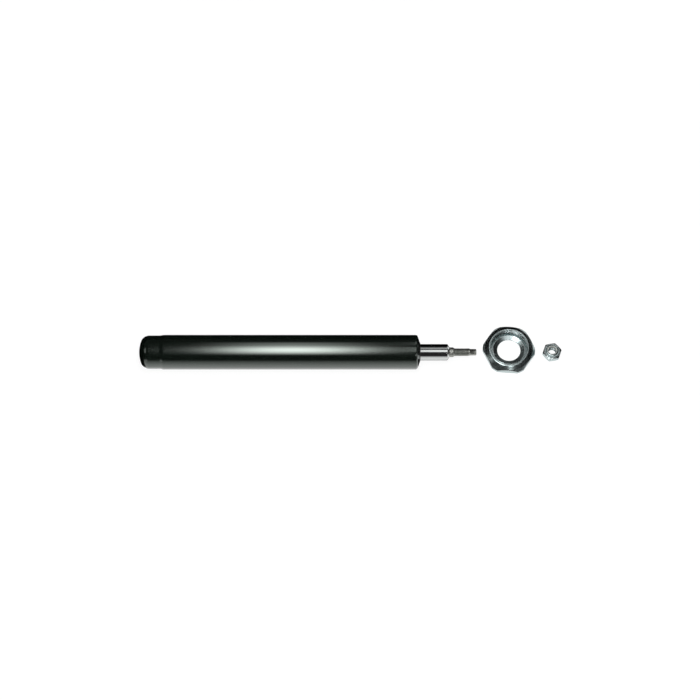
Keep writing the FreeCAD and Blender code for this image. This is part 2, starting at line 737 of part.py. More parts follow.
def make_piston_nut():
    """Nut that clamps the piston: hexagon flange below and a neck that carries the rebound valve."""
    flange = hexagon(piston_nut_x, piston_neck_x, PISTON_NUT_ACROSS_FLATS)
    neck = bar(piston_neck_x, piston_x, PISTON_NUT_NECK_DIAMETER)
    bore = bar(piston_nut_x, piston_x, 2 * spigot_fit_r)
    return flange.fuse(neck).cut(bore)


def make_stop_clip():
    """Split ring in the rod's groove."""
    inner_r = rod_r - STOP_CLIP_DEPTH + FIT_GAP
    ring = tube(clip_x, stop_collar_x, inner_r, STOP_CLIP_OD / 2)
    gap_corner = Vector(clip_x, -STOP_CLIP_SPLIT / 2, 0)
    gap = Part.makeBox(STOP_CLIP_SECTION, STOP_CLIP_SPLIT, STOP_CLIP_OD, gap_corner)
    return ring.cut(gap)


def make_stop_collar():
    """Steel ring that carries the bumper on the clip."""
    return tube(stop_collar_x, bumper_x, rod_fit_r, STOP_COLLAR_DIAMETER / 2)


def make_rebound_bumper():
    """Crowned buffer that meets the rod guide at the end of the rebound stroke."""
    outer_r = BUMPER_DIAMETER / 2
    crown_middle = BUMPER_CROWN * (1 - math.sqrt(0.5))
    return turned(
        (bumper_x, rod_fit_r),
        (bumper_x, outer_r),
        (bumper_top_x - BUMPER_CROWN, outer_r),
        ((bumper_top_x - crown_middle, outer_r - crown_middle), (bumper_top_x, outer_r - BUMPER_CROWN)),
        (bumper_top_x, rod_fit_r),
    )


def make_gland_nut():
    """Gland nut, open side up: thread with a run-out groove, raised seat for the lip, hole for the rod."""
    corner_r = GLAND_CORNER_DIAMETER / 2
    face_r = GLAND_FACE_DIAMETER / 2
    thread_r = GLAND_THREAD_BORE / 2
    relief_r = GLAND_RELIEF_DIAMETER / 2
    hole_r = GLAND_ROD_HOLE / 2
    seat_r = GLAND_SEAT_DIAMETER / 2
    crown = math.radians(GLAND_CROWN_DEG)

    def shoulder(angle):
        """Point on the round shoulder outside the face, at an angle from the nut's axis."""
        fall = GLAND_SHOULDER_RADIUS * (1 - math.cos(angle))
        return GLAND_HEIGHT - fall, face_r + GLAND_SHOULDER_RADIUS * math.sin(angle)

    crown_x, crown_r = shoulder(crown)
    bevel_r = GLAND_CROWN_DIAMETER / 2
    bevel_x = crown_x - (bevel_r - crown_r) * math.tan(crown)
    form = turned(
        (0.0, hole_r + GLAND_HOLE_BEVEL),
        (0.0, corner_r - GLAND_FOOT_BEVEL),
        (GLAND_FOOT_BEVEL, corner_r),
        (GLAND_CORNER_HEIGHT, corner_r),
        (bevel_x, bevel_r),
        (crown_x, crown_r),
        (shoulder(crown / 2), shoulder(0.0)),
        (GLAND_HEIGHT, thread_r + GLAND_ENTRY_BEVEL),
        (GLAND_HEIGHT - GLAND_ENTRY_BEVEL, thread_r),
        (GLAND_FLOOR + GLAND_RELIEF_WIDTH, thread_r),
        (GLAND_FLOOR + GLAND_RELIEF_WIDTH, relief_r),
        (GLAND_FLOOR, relief_r),
        (GLAND_FLOOR, seat_r),
        (GLAND_HOLE_DEPTH + (seat_r - hole_r) * math.tan(slope), seat_r),
        (GLAND_HOLE_DEPTH, hole_r),
        (GLAND_HOLE_BEVEL, hole_r),
    )
    nut = hexagon(0.0, GLAND_HEIGHT, GLAND_ACROSS_FLATS).common(form)
    return laid_on_floor(nut, GLAND_X, GLAND_Y, GLAND_TURN_DEG)


def make_lock_nut():
    """Rod nut: bevelled hexagon and a round crown, rolled in over the pocket of the nylon ring."""
    corner_r = LOCK_ACROSS_FLATS / math.sqrt(3)
    face_r = LOCK_FACE_DIAMETER / 2
    bevel = hex_bevel(LOCK_ACROSS_FLATS, LOCK_FACE_DIAMETER)
    thread_r = LOCK_THREAD_BORE / 2
    crown_r = LOCK_CROWN_DIAMETER / 2
    pocket_r = crown_r - LOCK_CROWN_WALL
    round_r = crown_r - LOCK_CROWN_BORE / 2
    round_middle = round_r * (1 - math.sqrt(0.5))
    form = turned(
        (0.0, thread_r + LOCK_ENTRY_BEVEL),
        (0.0, face_r),
        (bevel, corner_r),
        (LOCK_HEX_HEIGHT - bevel, corner_r),
        (LOCK_HEX_HEIGHT, face_r),
        (LOCK_HEX_HEIGHT, crown_r),
        (LOCK_HEIGHT - round_r, crown_r),
        ((LOCK_HEIGHT - round_middle, crown_r - round_middle), (LOCK_HEIGHT, crown_r - round_r)),
        (LOCK_HEIGHT - LOCK_CROWN_WALL, crown_r - round_r),
        (LOCK_HEIGHT - LOCK_CROWN_WALL, pocket_r),
        (LOCK_HEX_HEIGHT, pocket_r),
        (LOCK_HEX_HEIGHT, thread_r),
        (LOCK_ENTRY_BEVEL, thread_r),
    )
    nut = hexagon(0.0, LOCK_HEIGHT, LOCK_ACROSS_FLATS).common(form)
    return laid_on_floor(nut, LOCK_X, LOCK_Y, LOCK_TURN_DEG)


def make_lock_insert():
    """Nylon ring in the rod nut's crown, a little narrower than the thread."""
    outer_r = LOCK_CROWN_DIAMETER / 2 - LOCK_CROWN_WALL - FIT_GAP
    end_x = LOCK_HEIGHT - LOCK_CROWN_WALL - FIT_GAP
    ring = tube(LOCK_HEX_HEIGHT, end_x, LOCK_INSERT_BORE / 2, outer_r)
    return laid_on_floor(ring, LOCK_X, LOCK_Y, LOCK_TURN_DEG)


foot_guide_pin_r = FOOT_BOLT_GUIDE_DIAMETER / 2
parts = {
    "reserve_tube": make_reserve_tube(),
    "pressure_tube": make_pressure_tube(),
    "seal_carrier": make_seal_carrier(),
    "rod_seal": make_rod_seal(),
    "garter_spring": make_garter_spring(),
    "rod_guide": make_rod_guide(),
    "guide_bush": make_guide_bush(),
    "guide_o_ring": make_guide_o_ring(),
    "foot_valve_body": make_foot_valve_body(),
    "foot_valve_bolt": make_foot_valve_bolt(),
    "foot_valve_shims": make_foot_shims(),
    "foot_valve_washer": make_foot_washer(),
    "foot_valve_nut": make_foot_nut(),
    "foot_intake_plate": make_intake_plate(
        foot_top_x,
        foot_guide_pin_r,
        FOOT_PLATE_DIAMETER,
        FOOT_BLEED_COUNT,
        FOOT_BLEED_DIAMETER,
        FOOT_BLEED_CIRCLE,
    ),
    "foot_intake_spring": make_finger_spring(
        foot_plate_top_x, foot_head_x, foot_guide_pin_r, FOOT_FINGER_DIAMETER
    ),
    "piston_rod": make_piston_rod(),
    "piston": make_piston(),
    "piston_band": make_piston_band(),
    "piston_intake_plate": make_intake_plate(
        piston_top_x,
        stop_sleeve_r,
        PISTON_PLATE_DIAMETER,
        REBOUND_PORT_COUNT,
        REBOUND_PORT_DIAMETER,
        REBOUND_PORT_CIRCLE,
    ),
    "piston_intake_spring": make_finger_spring(
        piston_plate_top_x, stop_flange_x, stop_sleeve_r, PISTON_FINGER_DIAMETER
    ),
    "piston_intake_stop": make_intake_stop(),
    "rebound_shims": make_rebound_shims(),
    "rebound_spring_seat": make_spring_seat(),
    "rebound_spring": make_rebound_spring(),
    "piston_nut": make_piston_nut(),
    "rebound_stop_clip": make_stop_clip(),
    "rebound_stop_collar": make_stop_collar(),
    "rebound_bumper": make_rebound_bumper(),
    "gland_nut": make_gland_nut(),
    "lock_nut": make_lock_nut(),
    "lock_nut_insert": make_lock_insert(),
}

os.makedirs("parts", exist_ok=True)
for name, shape in parts.items():
    shape.exportStep(f"parts/{name}.step")
    solids = len(shape.Solids)
    print(f"{name}: {solids} solid(s), {shape.Volume / 1000:.2f} cm3, valid {shape.isValid()}")
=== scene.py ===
# %% [markdown]
# # Dressing a strut damper cartridge
#
# The object is the oil damper of a suspension strut: a black enamelled tube with a chromed rod, and beside it
# the two nuts that fasten it, a large gland nut and a small rod nut. Its solids come packed as a fixed frame,
# with every piece at its real size and place. This lesson gives each visible piece a finer surface and a
# finish, and sets up a small studio round it. Everything is in metres, in the frame's own axes: the damper
# lies along X and Z is up.

# %% Load the frame
import json

import bpy
import numpy as np
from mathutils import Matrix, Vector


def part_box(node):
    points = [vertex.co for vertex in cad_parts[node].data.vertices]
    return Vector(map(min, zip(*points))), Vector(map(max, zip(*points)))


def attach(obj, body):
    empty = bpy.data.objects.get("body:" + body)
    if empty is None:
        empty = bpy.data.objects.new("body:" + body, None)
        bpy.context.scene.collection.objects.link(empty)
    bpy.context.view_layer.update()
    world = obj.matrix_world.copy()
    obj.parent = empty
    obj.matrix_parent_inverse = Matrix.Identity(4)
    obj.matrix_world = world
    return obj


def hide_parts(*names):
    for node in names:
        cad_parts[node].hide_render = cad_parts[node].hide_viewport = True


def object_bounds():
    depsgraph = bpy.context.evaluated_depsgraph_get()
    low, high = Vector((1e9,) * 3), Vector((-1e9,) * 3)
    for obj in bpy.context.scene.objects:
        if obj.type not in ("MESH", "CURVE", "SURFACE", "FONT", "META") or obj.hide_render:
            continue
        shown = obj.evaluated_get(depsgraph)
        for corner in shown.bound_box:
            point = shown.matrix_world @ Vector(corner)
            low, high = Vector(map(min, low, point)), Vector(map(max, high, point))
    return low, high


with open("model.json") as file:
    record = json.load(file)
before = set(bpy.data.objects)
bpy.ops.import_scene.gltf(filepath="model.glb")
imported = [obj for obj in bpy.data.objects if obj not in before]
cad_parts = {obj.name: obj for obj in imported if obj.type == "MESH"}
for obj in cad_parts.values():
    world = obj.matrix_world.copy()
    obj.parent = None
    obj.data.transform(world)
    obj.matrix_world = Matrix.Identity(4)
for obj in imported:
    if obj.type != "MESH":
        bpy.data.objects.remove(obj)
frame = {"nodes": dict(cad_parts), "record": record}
cad_low, cad_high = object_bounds()
MM = 0.001
print("box in mm:", [round((high - low) / MM, 2) for low, high in zip(cad_low, cad_high)])

# %% [markdown]
# ## The camera
#
# A long lens keeps the tube's two edges parallel, as they are in the photograph. Its place isn't tuned by
# eye: the foot of the tube and the tip of the rod are two points whose pixels and real places are both known,
# so they give the scale, and the scale gives the distance. The nuts' openings show how far the camera looks
# down.

# %% Camera from two known points
IMAGE_SIDE = 700
FOOT_PIXEL_X = 139.3
TIP_PIXEL_X = 476.3
AXIS_PIXEL_Y = 352.25
ELEVATION = np.radians(65)
LENS = 135
SENSOR = 36
CLIP_END = 50

tube_low, tube_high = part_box("reserve_tube")
rod_low, rod_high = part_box("piston_rod")
metres_per_pixel = (rod_high.x - tube_low.x) / (TIP_PIXEL_X - FOOT_PIXEL_X)
distance = IMAGE_SIDE * metres_per_pixel * LENS / SENSOR
image_up = np.array((0, np.sin(ELEVATION), np.cos(ELEVATION)))
to_camera = np.array((0, -np.cos(ELEVATION), np.sin(ELEVATION)))
middle_x = tube_low.x + (IMAGE_SIDE / 2 - FOOT_PIXEL_X) * metres_per_pixel
aim = np.array((middle_x, 0, 0)) + image_up * (AXIS_PIXEL_Y - IMAGE_SIDE / 2) * metres_per_pixel

scene = bpy.context.scene
lens = bpy.data.cameras.new("camera")
lens.lens = LENS
lens.sensor_width = SENSOR
lens.clip_end = CLIP_END
camera = bpy.data.objects.new("camera", lens)
camera.location = aim + to_camera * distance
camera.rotation_euler = (np.pi / 2 - ELEVATION, 0, 0)
scene.collection.objects.link(camera)
scene.camera = camera
scene.view_settings.view_transform = "Standard"
print(f"{metres_per_pixel / MM:.3f} mm to a pixel, camera {distance:.2f} m away")

# %% [markdown]
# ## Nodes and colours
#
# A material is a small graph of nodes. One function adds any node: its settings, the values of its sockets
# and the links that come into it. Colours are written as the sRGB hex values that an eye would pick, and one
# function turns them into the linear light that the shader works in.

# %% A node and a colour
def linear(hex_colour):
    """Linear RGBA of an sRGB hex colour: c / 12.92 if dark, else ((c + 0.055) / 1.055) to the power 2.4."""
    channels = np.array([int(hex_colour[i:i + 2], 16) for i in (1, 3, 5)]) / 255
    bright = ((channels + 0.055) / 1.055) ** 2.4
    return (*np.where(channels <= 0.04045, channels / 12.92, bright), 1.0)


def add(tree, kind, values=None, links=None, **settings):
    """Add a node: settings are its own properties, values fill its sockets and links come in from others."""
    made = tree.nodes.new(kind)
    for name, setting in settings.items():
        setattr(made, name, setting)
    for socket, value in (values or {}).items():
        made.inputs[socket].default_value = value
    for socket, source in (links or {}).items():
        tree.links.new(source, made.inputs[socket])
    return made


def new_finish(name):
    """Material with an empty graph, and the Object coordinates that its patterns are drawn in."""
    finish = bpy.data.materials.new(name)
    finish.use_nodes = True
    tree = finish.node_tree
    tree.nodes.clear()
    place = tree.nodes.new("ShaderNodeTexCoord").outputs["Object"]
    return finish, tree, place


print("mid grey #808080 is", round(linear("#808080")[0], 3), "in linear light")

# %% [markdown]
# ## The floor and the room
#
# The floor is white paper. Lamps alone would leave it grey, and more light would burn out the metal, so for
# the camera and for reflections most of its white is its own glow, and the rest is real light that keeps the
# object's shadow. The room is pale round the horizon and dark overhead: a dark ceiling is what gives black
# enamel and chrome their deep blacks.

# %% White floor
FLOOR_HALF = 30.0
FLOOR_GAP = 0.05 * MM
GLOW_NEAR = 0.93
GLOW_FAR = 1.0
GLOW_FROM = 0.3
GLOW_TO = 0.9

floor_z = cad_low.z - FLOOR_GAP
floor_mesh = bpy.data.meshes.new("floor")
floor_x = FLOOR_HALF * np.array((-1, 1, 1, -1)) + middle_x
floor_y = FLOOR_HALF * np.array((-1, -1, 1, 1))
floor_mesh.from_pydata(np.column_stack((floor_x, floor_y, np.full(4, floor_z))), [], [(0, 1, 2, 3)])
floor = bpy.data.objects.new("floor", floor_mesh)
scene.collection.objects.link(floor)

paper, tree, place = new_finish("white_paper")
ray = tree.nodes.new("ShaderNodeLightPath")
seen = add(tree, "ShaderNodeMath", links={0: ray.outputs["Is Camera Ray"], 1: ray.outputs["Is Glossy Ray"]})
through = ray.outputs["Is Transmission Ray"]
seen = add(tree, "ShaderNodeMath", links={0: seen.outputs[0], 1: through}, use_clamp=True)
away = add(tree, "ShaderNodeVectorMath", {1: (middle_x, 0, floor_z)}, {0: place}, operation="DISTANCE")
glow = add(
    tree, "ShaderNodeMapRange",
    {"From Min": GLOW_FROM, "From Max": GLOW_TO, "To Min": GLOW_NEAR, "To Max": GLOW_FAR},
    {"Value": away.outputs["Value"]},
)
lit = add(tree, "ShaderNodeBsdfDiffuse", {"Color": linear("#EFEFEE")})
shaded = add(tree, "ShaderNodeBsdfDiffuse", {"Color": linear("#7A7A7A")})
shine = add(tree, "ShaderNodeEmission", {"Color": linear("#FFFFFF")}, {"Strength": glow.outputs["Result"]})
white = add(tree, "ShaderNodeAddShader", links={0: shaded.outputs[0], 1: shine.outputs[0]})
either = add(tree, "ShaderNodeMixShader", links={0: seen.outputs[0], 1: lit.outputs[0], 2: white.outputs[0]})
add(tree, "ShaderNodeOutputMaterial", links={"Surface": either.outputs[0]})
floor_mesh.materials.append(paper)
print(f"floor at z = {floor_z / MM:.2f} mm")

# %% Room, pale at the horizon and dark overhead
HORIZON_LIGHT = 1.0
CEILING_LIGHT = 0.02
PALE_UP_TO = 0.0
DARK_FROM = np.sin(np.radians(14))

room = bpy.data.worlds.new("room")
room.use_nodes = True
tree = room.node_tree
direction = tree.nodes.new("ShaderNodeTexCoord").outputs["Generated"]
height = add(tree, "ShaderNodeSeparateXYZ", links={0: direction})
wall = add(
    tree, "ShaderNodeMapRange",
    {"From Min": PALE_UP_TO, "From Max": DARK_FROM, "To Min": HORIZON_LIGHT, "To Max": CEILING_LIGHT},
    {"Value": height.outputs["Z"]}, interpolation_type="SMOOTHSTEP",
)
tree.links.new(wall.outputs["Result"], tree.nodes["Background"].inputs["Strength"])
tree.nodes["Background"].inputs["Color"].default_value = linear("#FFFFFF")
scene.world = room
print("room light from", CEILING_LIGHT, "overhead to", HORIZON_LIGHT, "at the horizon")

# %% [markdown]
# ## The lamps
#
# On a round bar each line along its length mirrors one direction, so the stripes on the rod are a picture of
# the lamps: a sheet overhead and a dim strip further back. A strip behind and one in front draw the light
# edges of the nuts, a small bright lamp puts the glint on the gland nut's crown, and a large one far to the
# left gives the foot its spot of light. Each lamp is placed by the angle at which the bar sees it, measured
# from the floor in front, over the top, to the back. Strength is given as radiance, the brightness of the
# lamp's face, because that is what a mirror shows: the power is radiance times pi times the area.

# %% Soft lamps
LAMP_REACH = 1.0
LAMPS = (
    # name, middle along X in metres, low and high angle in degrees, length in metres, radiance
    ("rod_sheet", 0.562, 68, 98, 0.40, 1.25),
    ("rod_strip", 0.42, 112, 134, 0.12, 0.46),
    ("nut_strip", 0.6275, 122, 142, 0.305, 1.6),
    ("nut_front", 0.60, 28, 46, 0.24, 0.5),
    ("nut_glint", 0.565, 38, 60, 0.05, 10.0),
    ("foot_glint", -1.2, 60, 100, 0.9, 0.75),
)


def lamp(name, middle, low_angle, high_angle, length, radiance):
    """Rectangle lamp facing the X axis, as wide as 2 reach tan(half its arc from low to high angle)."""
    half = np.radians(high_angle - low_angle) / 2
    rise = np.radians(high_angle + low_angle) / 2
    width = 2 * LAMP_REACH * np.tan(half)
    light = bpy.data.lights.new(name, "AREA")
    light.shape = "RECTANGLE"
    light.size = length
    light.size_y = width
    light.energy = radiance * np.pi * length * width
    placed = bpy.data.objects.new(name, light)
    placed.location = (middle, -LAMP_REACH * np.cos(rise), LAMP_REACH * np.sin(rise))
    placed.rotation_euler = (np.pi / 2 - rise, 0, 0)
    placed.visible_camera = False
    scene.collection.objects.link(placed)
    print(f"{name}: {length:.2f} by {width:.2f} m, {light.energy:.1f} W")


for settings in LAMPS:
    lamp(*settings)

# %% [markdown]
# The long highlight on the tube has no edges at all, so its light is a softbox that fades out: a sheet of
# mesh bent round the tube, whose brightness is worked out point by point and kept as an attribute. A weak
# second swell at its back carries the highlight on over the top of the tube.

# %% Softbox over the tube
SOFTBOX_MIDDLE = 0.168
SOFTBOX_HALF_LENGTH = 0.172
SOFTBOX_ANGLE = 80
SOFTBOX_HALF_ARC = 37
SOFTBOX_RADIANCE = 10.0
BACK_ANGLE = 117
BACK_HALF_ARC = 24
BACK_SHARE = 0.155
SOFTBOX_STEPS = 64


def fade(t):
    """Share of the light, from 1 in the middle to 0 at t = 1 and beyond: 1 - 3 t^2 + 2 |t|^3."""
    t = np.minimum(np.abs(t), 1)
    return 1 - 3 * t ** 2 + 2 * t ** 3


def glowing_sheet(name, x, y, z, radiance):
    """Sheet over a grid of points that glows by the radiance at each point. The camera looks past it."""
    grid = np.arange(x.size).reshape(x.shape)
    faces = np.stack((grid[:-1, :-1], grid[1:, :-1], grid[1:, 1:], grid[:-1, 1:]), axis=-1).reshape(-1, 4)
    mesh = bpy.data.meshes.new(name)
    mesh.from_pydata(np.stack((x, y, z), axis=-1).reshape(-1, 3), [], faces.tolist())
    mesh.attributes.new("radiance", "FLOAT", "POINT").data.foreach_set("value", radiance.ravel())
    mesh.materials.append(cloth)
    sheet = bpy.data.objects.new(name, mesh)
    sheet.visible_camera = False
    sheet.visible_shadow = False
    scene.collection.objects.link(sheet)
    print(f"{name} of {len(faces)} faces, brightest at {radiance.max():.2f}")
    return sheet


cloth, tree, place = new_finish("glowing_cloth")
bright = add(tree, "ShaderNodeAttribute", attribute_name="radiance")
shine = add(tree, "ShaderNodeEmission", {"Color": linear("#FFFFFF")}, {"Strength": bright.outputs["Fac"]})
add(tree, "ShaderNodeOutputMaterial", links={"Surface": shine.outputs[0]})

front_edge = SOFTBOX_ANGLE - SOFTBOX_HALF_ARC
back_edge = BACK_ANGLE + BACK_HALF_ARC
steps = np.linspace(-1, 1, SOFTBOX_STEPS)
across, rise = np.meshgrid(steps, np.linspace(front_edge, back_edge, SOFTBOX_STEPS))
swell = fade((rise - SOFTBOX_ANGLE) / SOFTBOX_HALF_ARC)
swell = swell + BACK_SHARE * fade((rise - BACK_ANGLE) / BACK_HALF_ARC)
radiance = SOFTBOX_RADIANCE * fade(across) * swell
sheet_x = SOFTBOX_MIDDLE + across * SOFTBOX_HALF_LENGTH
sheet_y = -LAMP_REACH * np.cos(np.radians(rise))
sheet_z = LAMP_REACH * np.sin(np.radians(rise))
glowing_sheet("softbox", sheet_x, sheet_y, sheet_z, radiance)

# %% [markdown]
# The lower side of the tube mirrors what lies in front of it: white paper close by, and further off a dim
# room. A second sheet gives that gradient. It lies on the floor, stands up far in front, and fades from white
# to black with the angle at which the tube sees it. It glows for reflections only and lights nothing.

# %% Grey sweep in front of the tube
SWEEP_WHITE_ANGLE = -15
SWEEP_BLACK_ANGLE = 12
SWEEP_REACH = 1.2
SWEEP_HALF_LENGTH = 0.62
SWEEP_STEPS = 40
SWEEP_LIFT = 0.02 * MM

drop = floor_z + SWEEP_LIFT
side, rise = np.meshgrid((-1.0, 1.0), np.linspace(SWEEP_WHITE_ANGLE, SWEEP_BLACK_ANGLE, SWEEP_STEPS))
slope = np.tan(np.radians(rise))
lies = slope < drop / SWEEP_REACH
ahead = np.divide(drop, slope, out=np.full_like(slope, SWEEP_REACH), where=lies)
radiance = (SWEEP_BLACK_ANGLE - rise) / (SWEEP_BLACK_ANGLE - SWEEP_WHITE_ANGLE)
sweep = glowing_sheet("grey_sweep", middle_x + side * SWEEP_HALF_LENGTH, -ahead, ahead * slope, radiance)
sweep.visible_diffuse = False
sweep.visible_transmission = False

# %% [markdown]
# A photographer stands black card round a shiny bar, out of the picture, to give its edges a dark outline.
# This card lies on the floor behind the object and stands up behind and at both ends, further forward at the
# left. A tongue under the rod and a wider piece beside the foot are painted shade: they make the floor look
# dark in reflections next to the object, where its own shade falls. It is seen by reflections only: it
# throws no shadow and the camera looks past it.

# %% Black card round three sides
CARD_START_Y = 0.05
CARD_END_Y = 0.45
CARD_LEFT_Y = -0.50
CARD_RIGHT_Y = -0.10
SHADE_TONGUE_Y = -0.013
SHADE_TONGUE_REACH = 0.04
FOOT_SHADE_Y = -0.03
FOOT_SHADE_CORNER_Y = -0.28
FOOT_SHADE_REACH = 0.36
CARD_TOP_Z = 0.22
CARD_HALF_LENGTH = 0.62
CARD_LIFT = 0.05 * MM

left = middle_x - CARD_HALF_LENGTH
right = middle_x + CARD_HALF_LENGTH
shade_tongue_x = tube_high.x + SHADE_TONGUE_REACH
foot_shade_x = tube_low.x - FOOT_SHADE_REACH
lying = np.array((
    ((left, CARD_START_Y), (right, CARD_START_Y), (right, CARD_END_Y), (left, CARD_END_Y)),
    # Painted shade: a tongue of card under the rod, dark in reflections where the rod's contact shade falls.
    (
        (tube_high.x, SHADE_TONGUE_Y), (shade_tongue_x, SHADE_TONGUE_Y),
        (rod_high.x, CARD_START_Y), (tube_high.x, CARD_START_Y),
    ),
    # Painted shade: a slanted piece beside the foot, which darkens the foot's reflection of the floor.
    (
        (foot_shade_x, FOOT_SHADE_CORNER_Y), (tube_low.x, FOOT_SHADE_Y),
        (tube_low.x, CARD_START_Y), (foot_shade_x, CARD_START_Y),
    ),
))
standing = np.array((
    ((left, CARD_END_Y), (right, CARD_END_Y)),
    ((left, CARD_LEFT_Y), (left, CARD_END_Y)),
    ((right, CARD_RIGHT_Y), (right, CARD_END_Y)),
))
places = np.concatenate((lying, np.concatenate((standing, standing[:, ::-1]), axis=1)))
heights = np.full(places.shape[:2] + (1,), floor_z + CARD_LIFT)
heights[len(lying):, 2:] += CARD_TOP_Z
corners = np.concatenate((places, heights), axis=-1).reshape(-1, 3)
card_mesh = bpy.data.meshes.new("black_card")
card_mesh.from_pydata(corners, [], np.arange(len(corners)).reshape(-1, 4).tolist())
card = bpy.data.objects.new("black_card", card_mesh)
card.visible_camera = False
card.visible_diffuse = False
card.visible_shadow = False
card.visible_transmission = False
scene.collection.objects.link(card)
black, tree, place = new_finish("black_card")
matt = add(tree, "ShaderNodeBsdfDiffuse", {"Color": linear("#0A0A0A")})
add(tree, "ShaderNodeOutputMaterial", links={"Surface": matt.outputs[0]})
card_mesh.materials.append(black)
print("card of", 2 * CARD_HALF_LENGTH, "m along the back and round both ends")

# %% [markdown]
# ## Turned shapes from an outline
#
# Every visible piece was made on a lathe, a press or a tube spinner, so each is an outline carried round an
# axis. A Spin or Screw modifier could do that for plain rings, but not for hexagons and threads, whose
# outline changes with the angle. So the outline is an array with one value of place and radius per station
# and per angle, and numpy works out the whole grid at once. Real edges are never sharp, so the outline's
# corners are rounded, and how rounded each station is goes along as an attribute for the finishes.

# %% Outline, grid and mesh
EASE_STEPS = 5
EASE_MARGIN = 1.5
# How far a corner's rounding reaches along its two sides, from a crisp edge to a blunt one.
EASE_FINE = 0.1 * MM
EASE_KEEN = 0.12 * MM
EASE_CUT = 0.15 * MM
EASE_BROKEN = 0.2 * MM
EASE_FULL = 0.25 * MM
EASE_SOFT = 0.3 * MM
EASE_BLUNT = 0.4 * MM
EASE_ROUND = 0.5 * MM


def outline(angles, *stretches):
    """Line of (along, radius) stations for every angle, with rounded corners.

    A stretch is (along, radius, ease): numbers, arrays over the angles, or columns of several stations. Where
    ease is above zero, the corner c becomes c + (1 - t)^2 back + t^2 on for t from 0 to 1, where back and on
    reach one ease along the two sides that meet there. One station more on each side keeps the sides flat.
    Returns the line as (stations, angles, 2), and per station 1 on a rounded corner and 0 elsewhere.
    """
    corners = []
    eases = []
    for along, radius, ease in stretches:
        along, radius = np.broadcast_arrays(np.atleast_2d(along), np.atleast_2d(radius))
        pair = np.stack((along, radius), axis=-1)
        corners.append(np.broadcast_to(pair, (len(pair), len(angles), 2)))
        eases += [ease] * len(pair)
    corners = np.concatenate(corners)
    t = np.linspace(0, 1, EASE_STEPS)[:, None, None]
    line = []
    worn = []
    for station, ease in enumerate(eases):
        here = corners[station]
        if ease == 0:
            line.append(here[None])
            worn.append([0.0])
            continue
        back = corners[station - 1] - here
        back = back / np.linalg.norm(back, axis=-1, keepdims=True) * ease
        on = corners[(station + 1) % len(corners)] - here
        on = on / np.linalg.norm(on, axis=-1, keepdims=True) * ease
        curve = here + (1 - t) ** 2 * back + t ** 2 * on
        line.append(np.concatenate((here[None] + EASE_MARGIN * back, curve, here[None] + EASE_MARGIN * on)))
        worn.append([0.0] + [1.0] * EASE_STEPS + [0.0])
    return np.concatenate(line), np.concatenate(worn)


def carried_round(line, angles, centre, upright):
    """Rings of points: along the axis, and radius times (cos, sin) of the angle across it.

    A lying piece has X as its axis, with angles from Y towards Z. An upright one has Z, with angles from X
    towards Y.
    """
    along = line[..., 0]
    first = line[..., 1] * np.cos(angles)
    second = line[..., 1] * np.sin(angles)
    order = (first, second, along) if upright else (along, first, second)
    return np.stack(order, axis=-1) + np.array(centre)


def joined(rings, values, poled):
    """Vertices, one value each, and faces of a stack of closed rings.

    Face (i, j) joins points j and j + 1 of ring i to those of ring i + 1. A poled stack starts and ends on
    the axis, so its end rings are one vertex each with a fan of triangles. Any other stack closes on itself.
    """
    around = rings.shape[1]
    if not poled:
        grid = np.arange(rings.shape[0] * around).reshape(-1, around)
        grid = np.concatenate((grid, grid[:1]))
        vertices = rings.reshape(-1, 3)
        value = values.ravel()
    else:
        grid = 1 + np.arange((rings.shape[0] - 2) * around).reshape(-1, around)
        vertices = np.concatenate((rings[0, :1], rings[1:-1].reshape(-1, 3), rings[-1, :1]))
        value = np.concatenate((values[0, :1], values[1:-1].ravel(), values[-1, :1]))
    beside = np.roll(grid, -1, axis=1)
    faces = np.stack((grid[:-1], beside[:-1], beside[1:], grid[1:]), axis=-1).reshape(-1, 4).tolist()
    if poled:
        start = np.zeros(around, int)
        end = np.full(around, len(vertices) - 1)
        first_fan = np.stack((start, beside[0], grid[0]), axis=-1).tolist()
        last_fan = np.stack((grid[-1], beside[-1], end), axis=-1).tolist()
        faces = first_fan + faces + last_fan
    return vertices, value, faces


def turned_piece(name, line, worn, angles, centre=(0, 0, 0), upright=False, poled=False):
    """Smooth mesh of an outline carried round its axis, with its worn corners and radius as attributes."""
    rings = carried_round(line, angles, centre, upright)
    edge = np.broadcast_to(worn[:, None], line.shape[:2])
    vertices, edge, faces = joined(rings, edge, poled)
    radius = joined(rings, line[..., 1], poled)[1]
    mesh = bpy.data.meshes.new(name)
    mesh.from_pydata(vertices, [], faces)
    mesh.polygons.foreach_set("use_smooth", np.ones(len(faces), bool))
    for attribute, value in (("worn_edge", edge), ("from_axis", radius)):
        carried = mesh.attributes.new(attribute, "FLOAT", "POINT")
        carried.data.foreach_set("value", np.ascontiguousarray(value))
    piece = bpy.data.objects.new(name, mesh)
    scene.collection.objects.link(piece)
    print(f"{name}: {len(vertices)} vertices, {len(faces)} faces")
    return piece


def stand_for(piece, node, body, slot, *finishes):
    """Give a piece its finishes and its body, and hide the solid whose place it takes. The slot is not used.
    """
    for finish in finishes:
        piece.data.materials.append(finish)
    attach(piece, body)
    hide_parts(node)


# %% [markdown]
# ## The housing
#
# One drawn steel tube: its foot is spun shut to a dome on a round knuckle, a short neck is swaged a little
# thinner to find its seat in the strut, and its other end is rolled in over the seal. A bevelled cylinder
# with a Solidify modifier would come near, but dome, knuckle, swage and lip each have a curve of their own.
# So the outline is put together from these curves, from the middle of the dome to the rolled lip on the
# outside, and back one wall thickness further in. The spinning tool leaves faint rings on the dome, which are
# real geometry here.

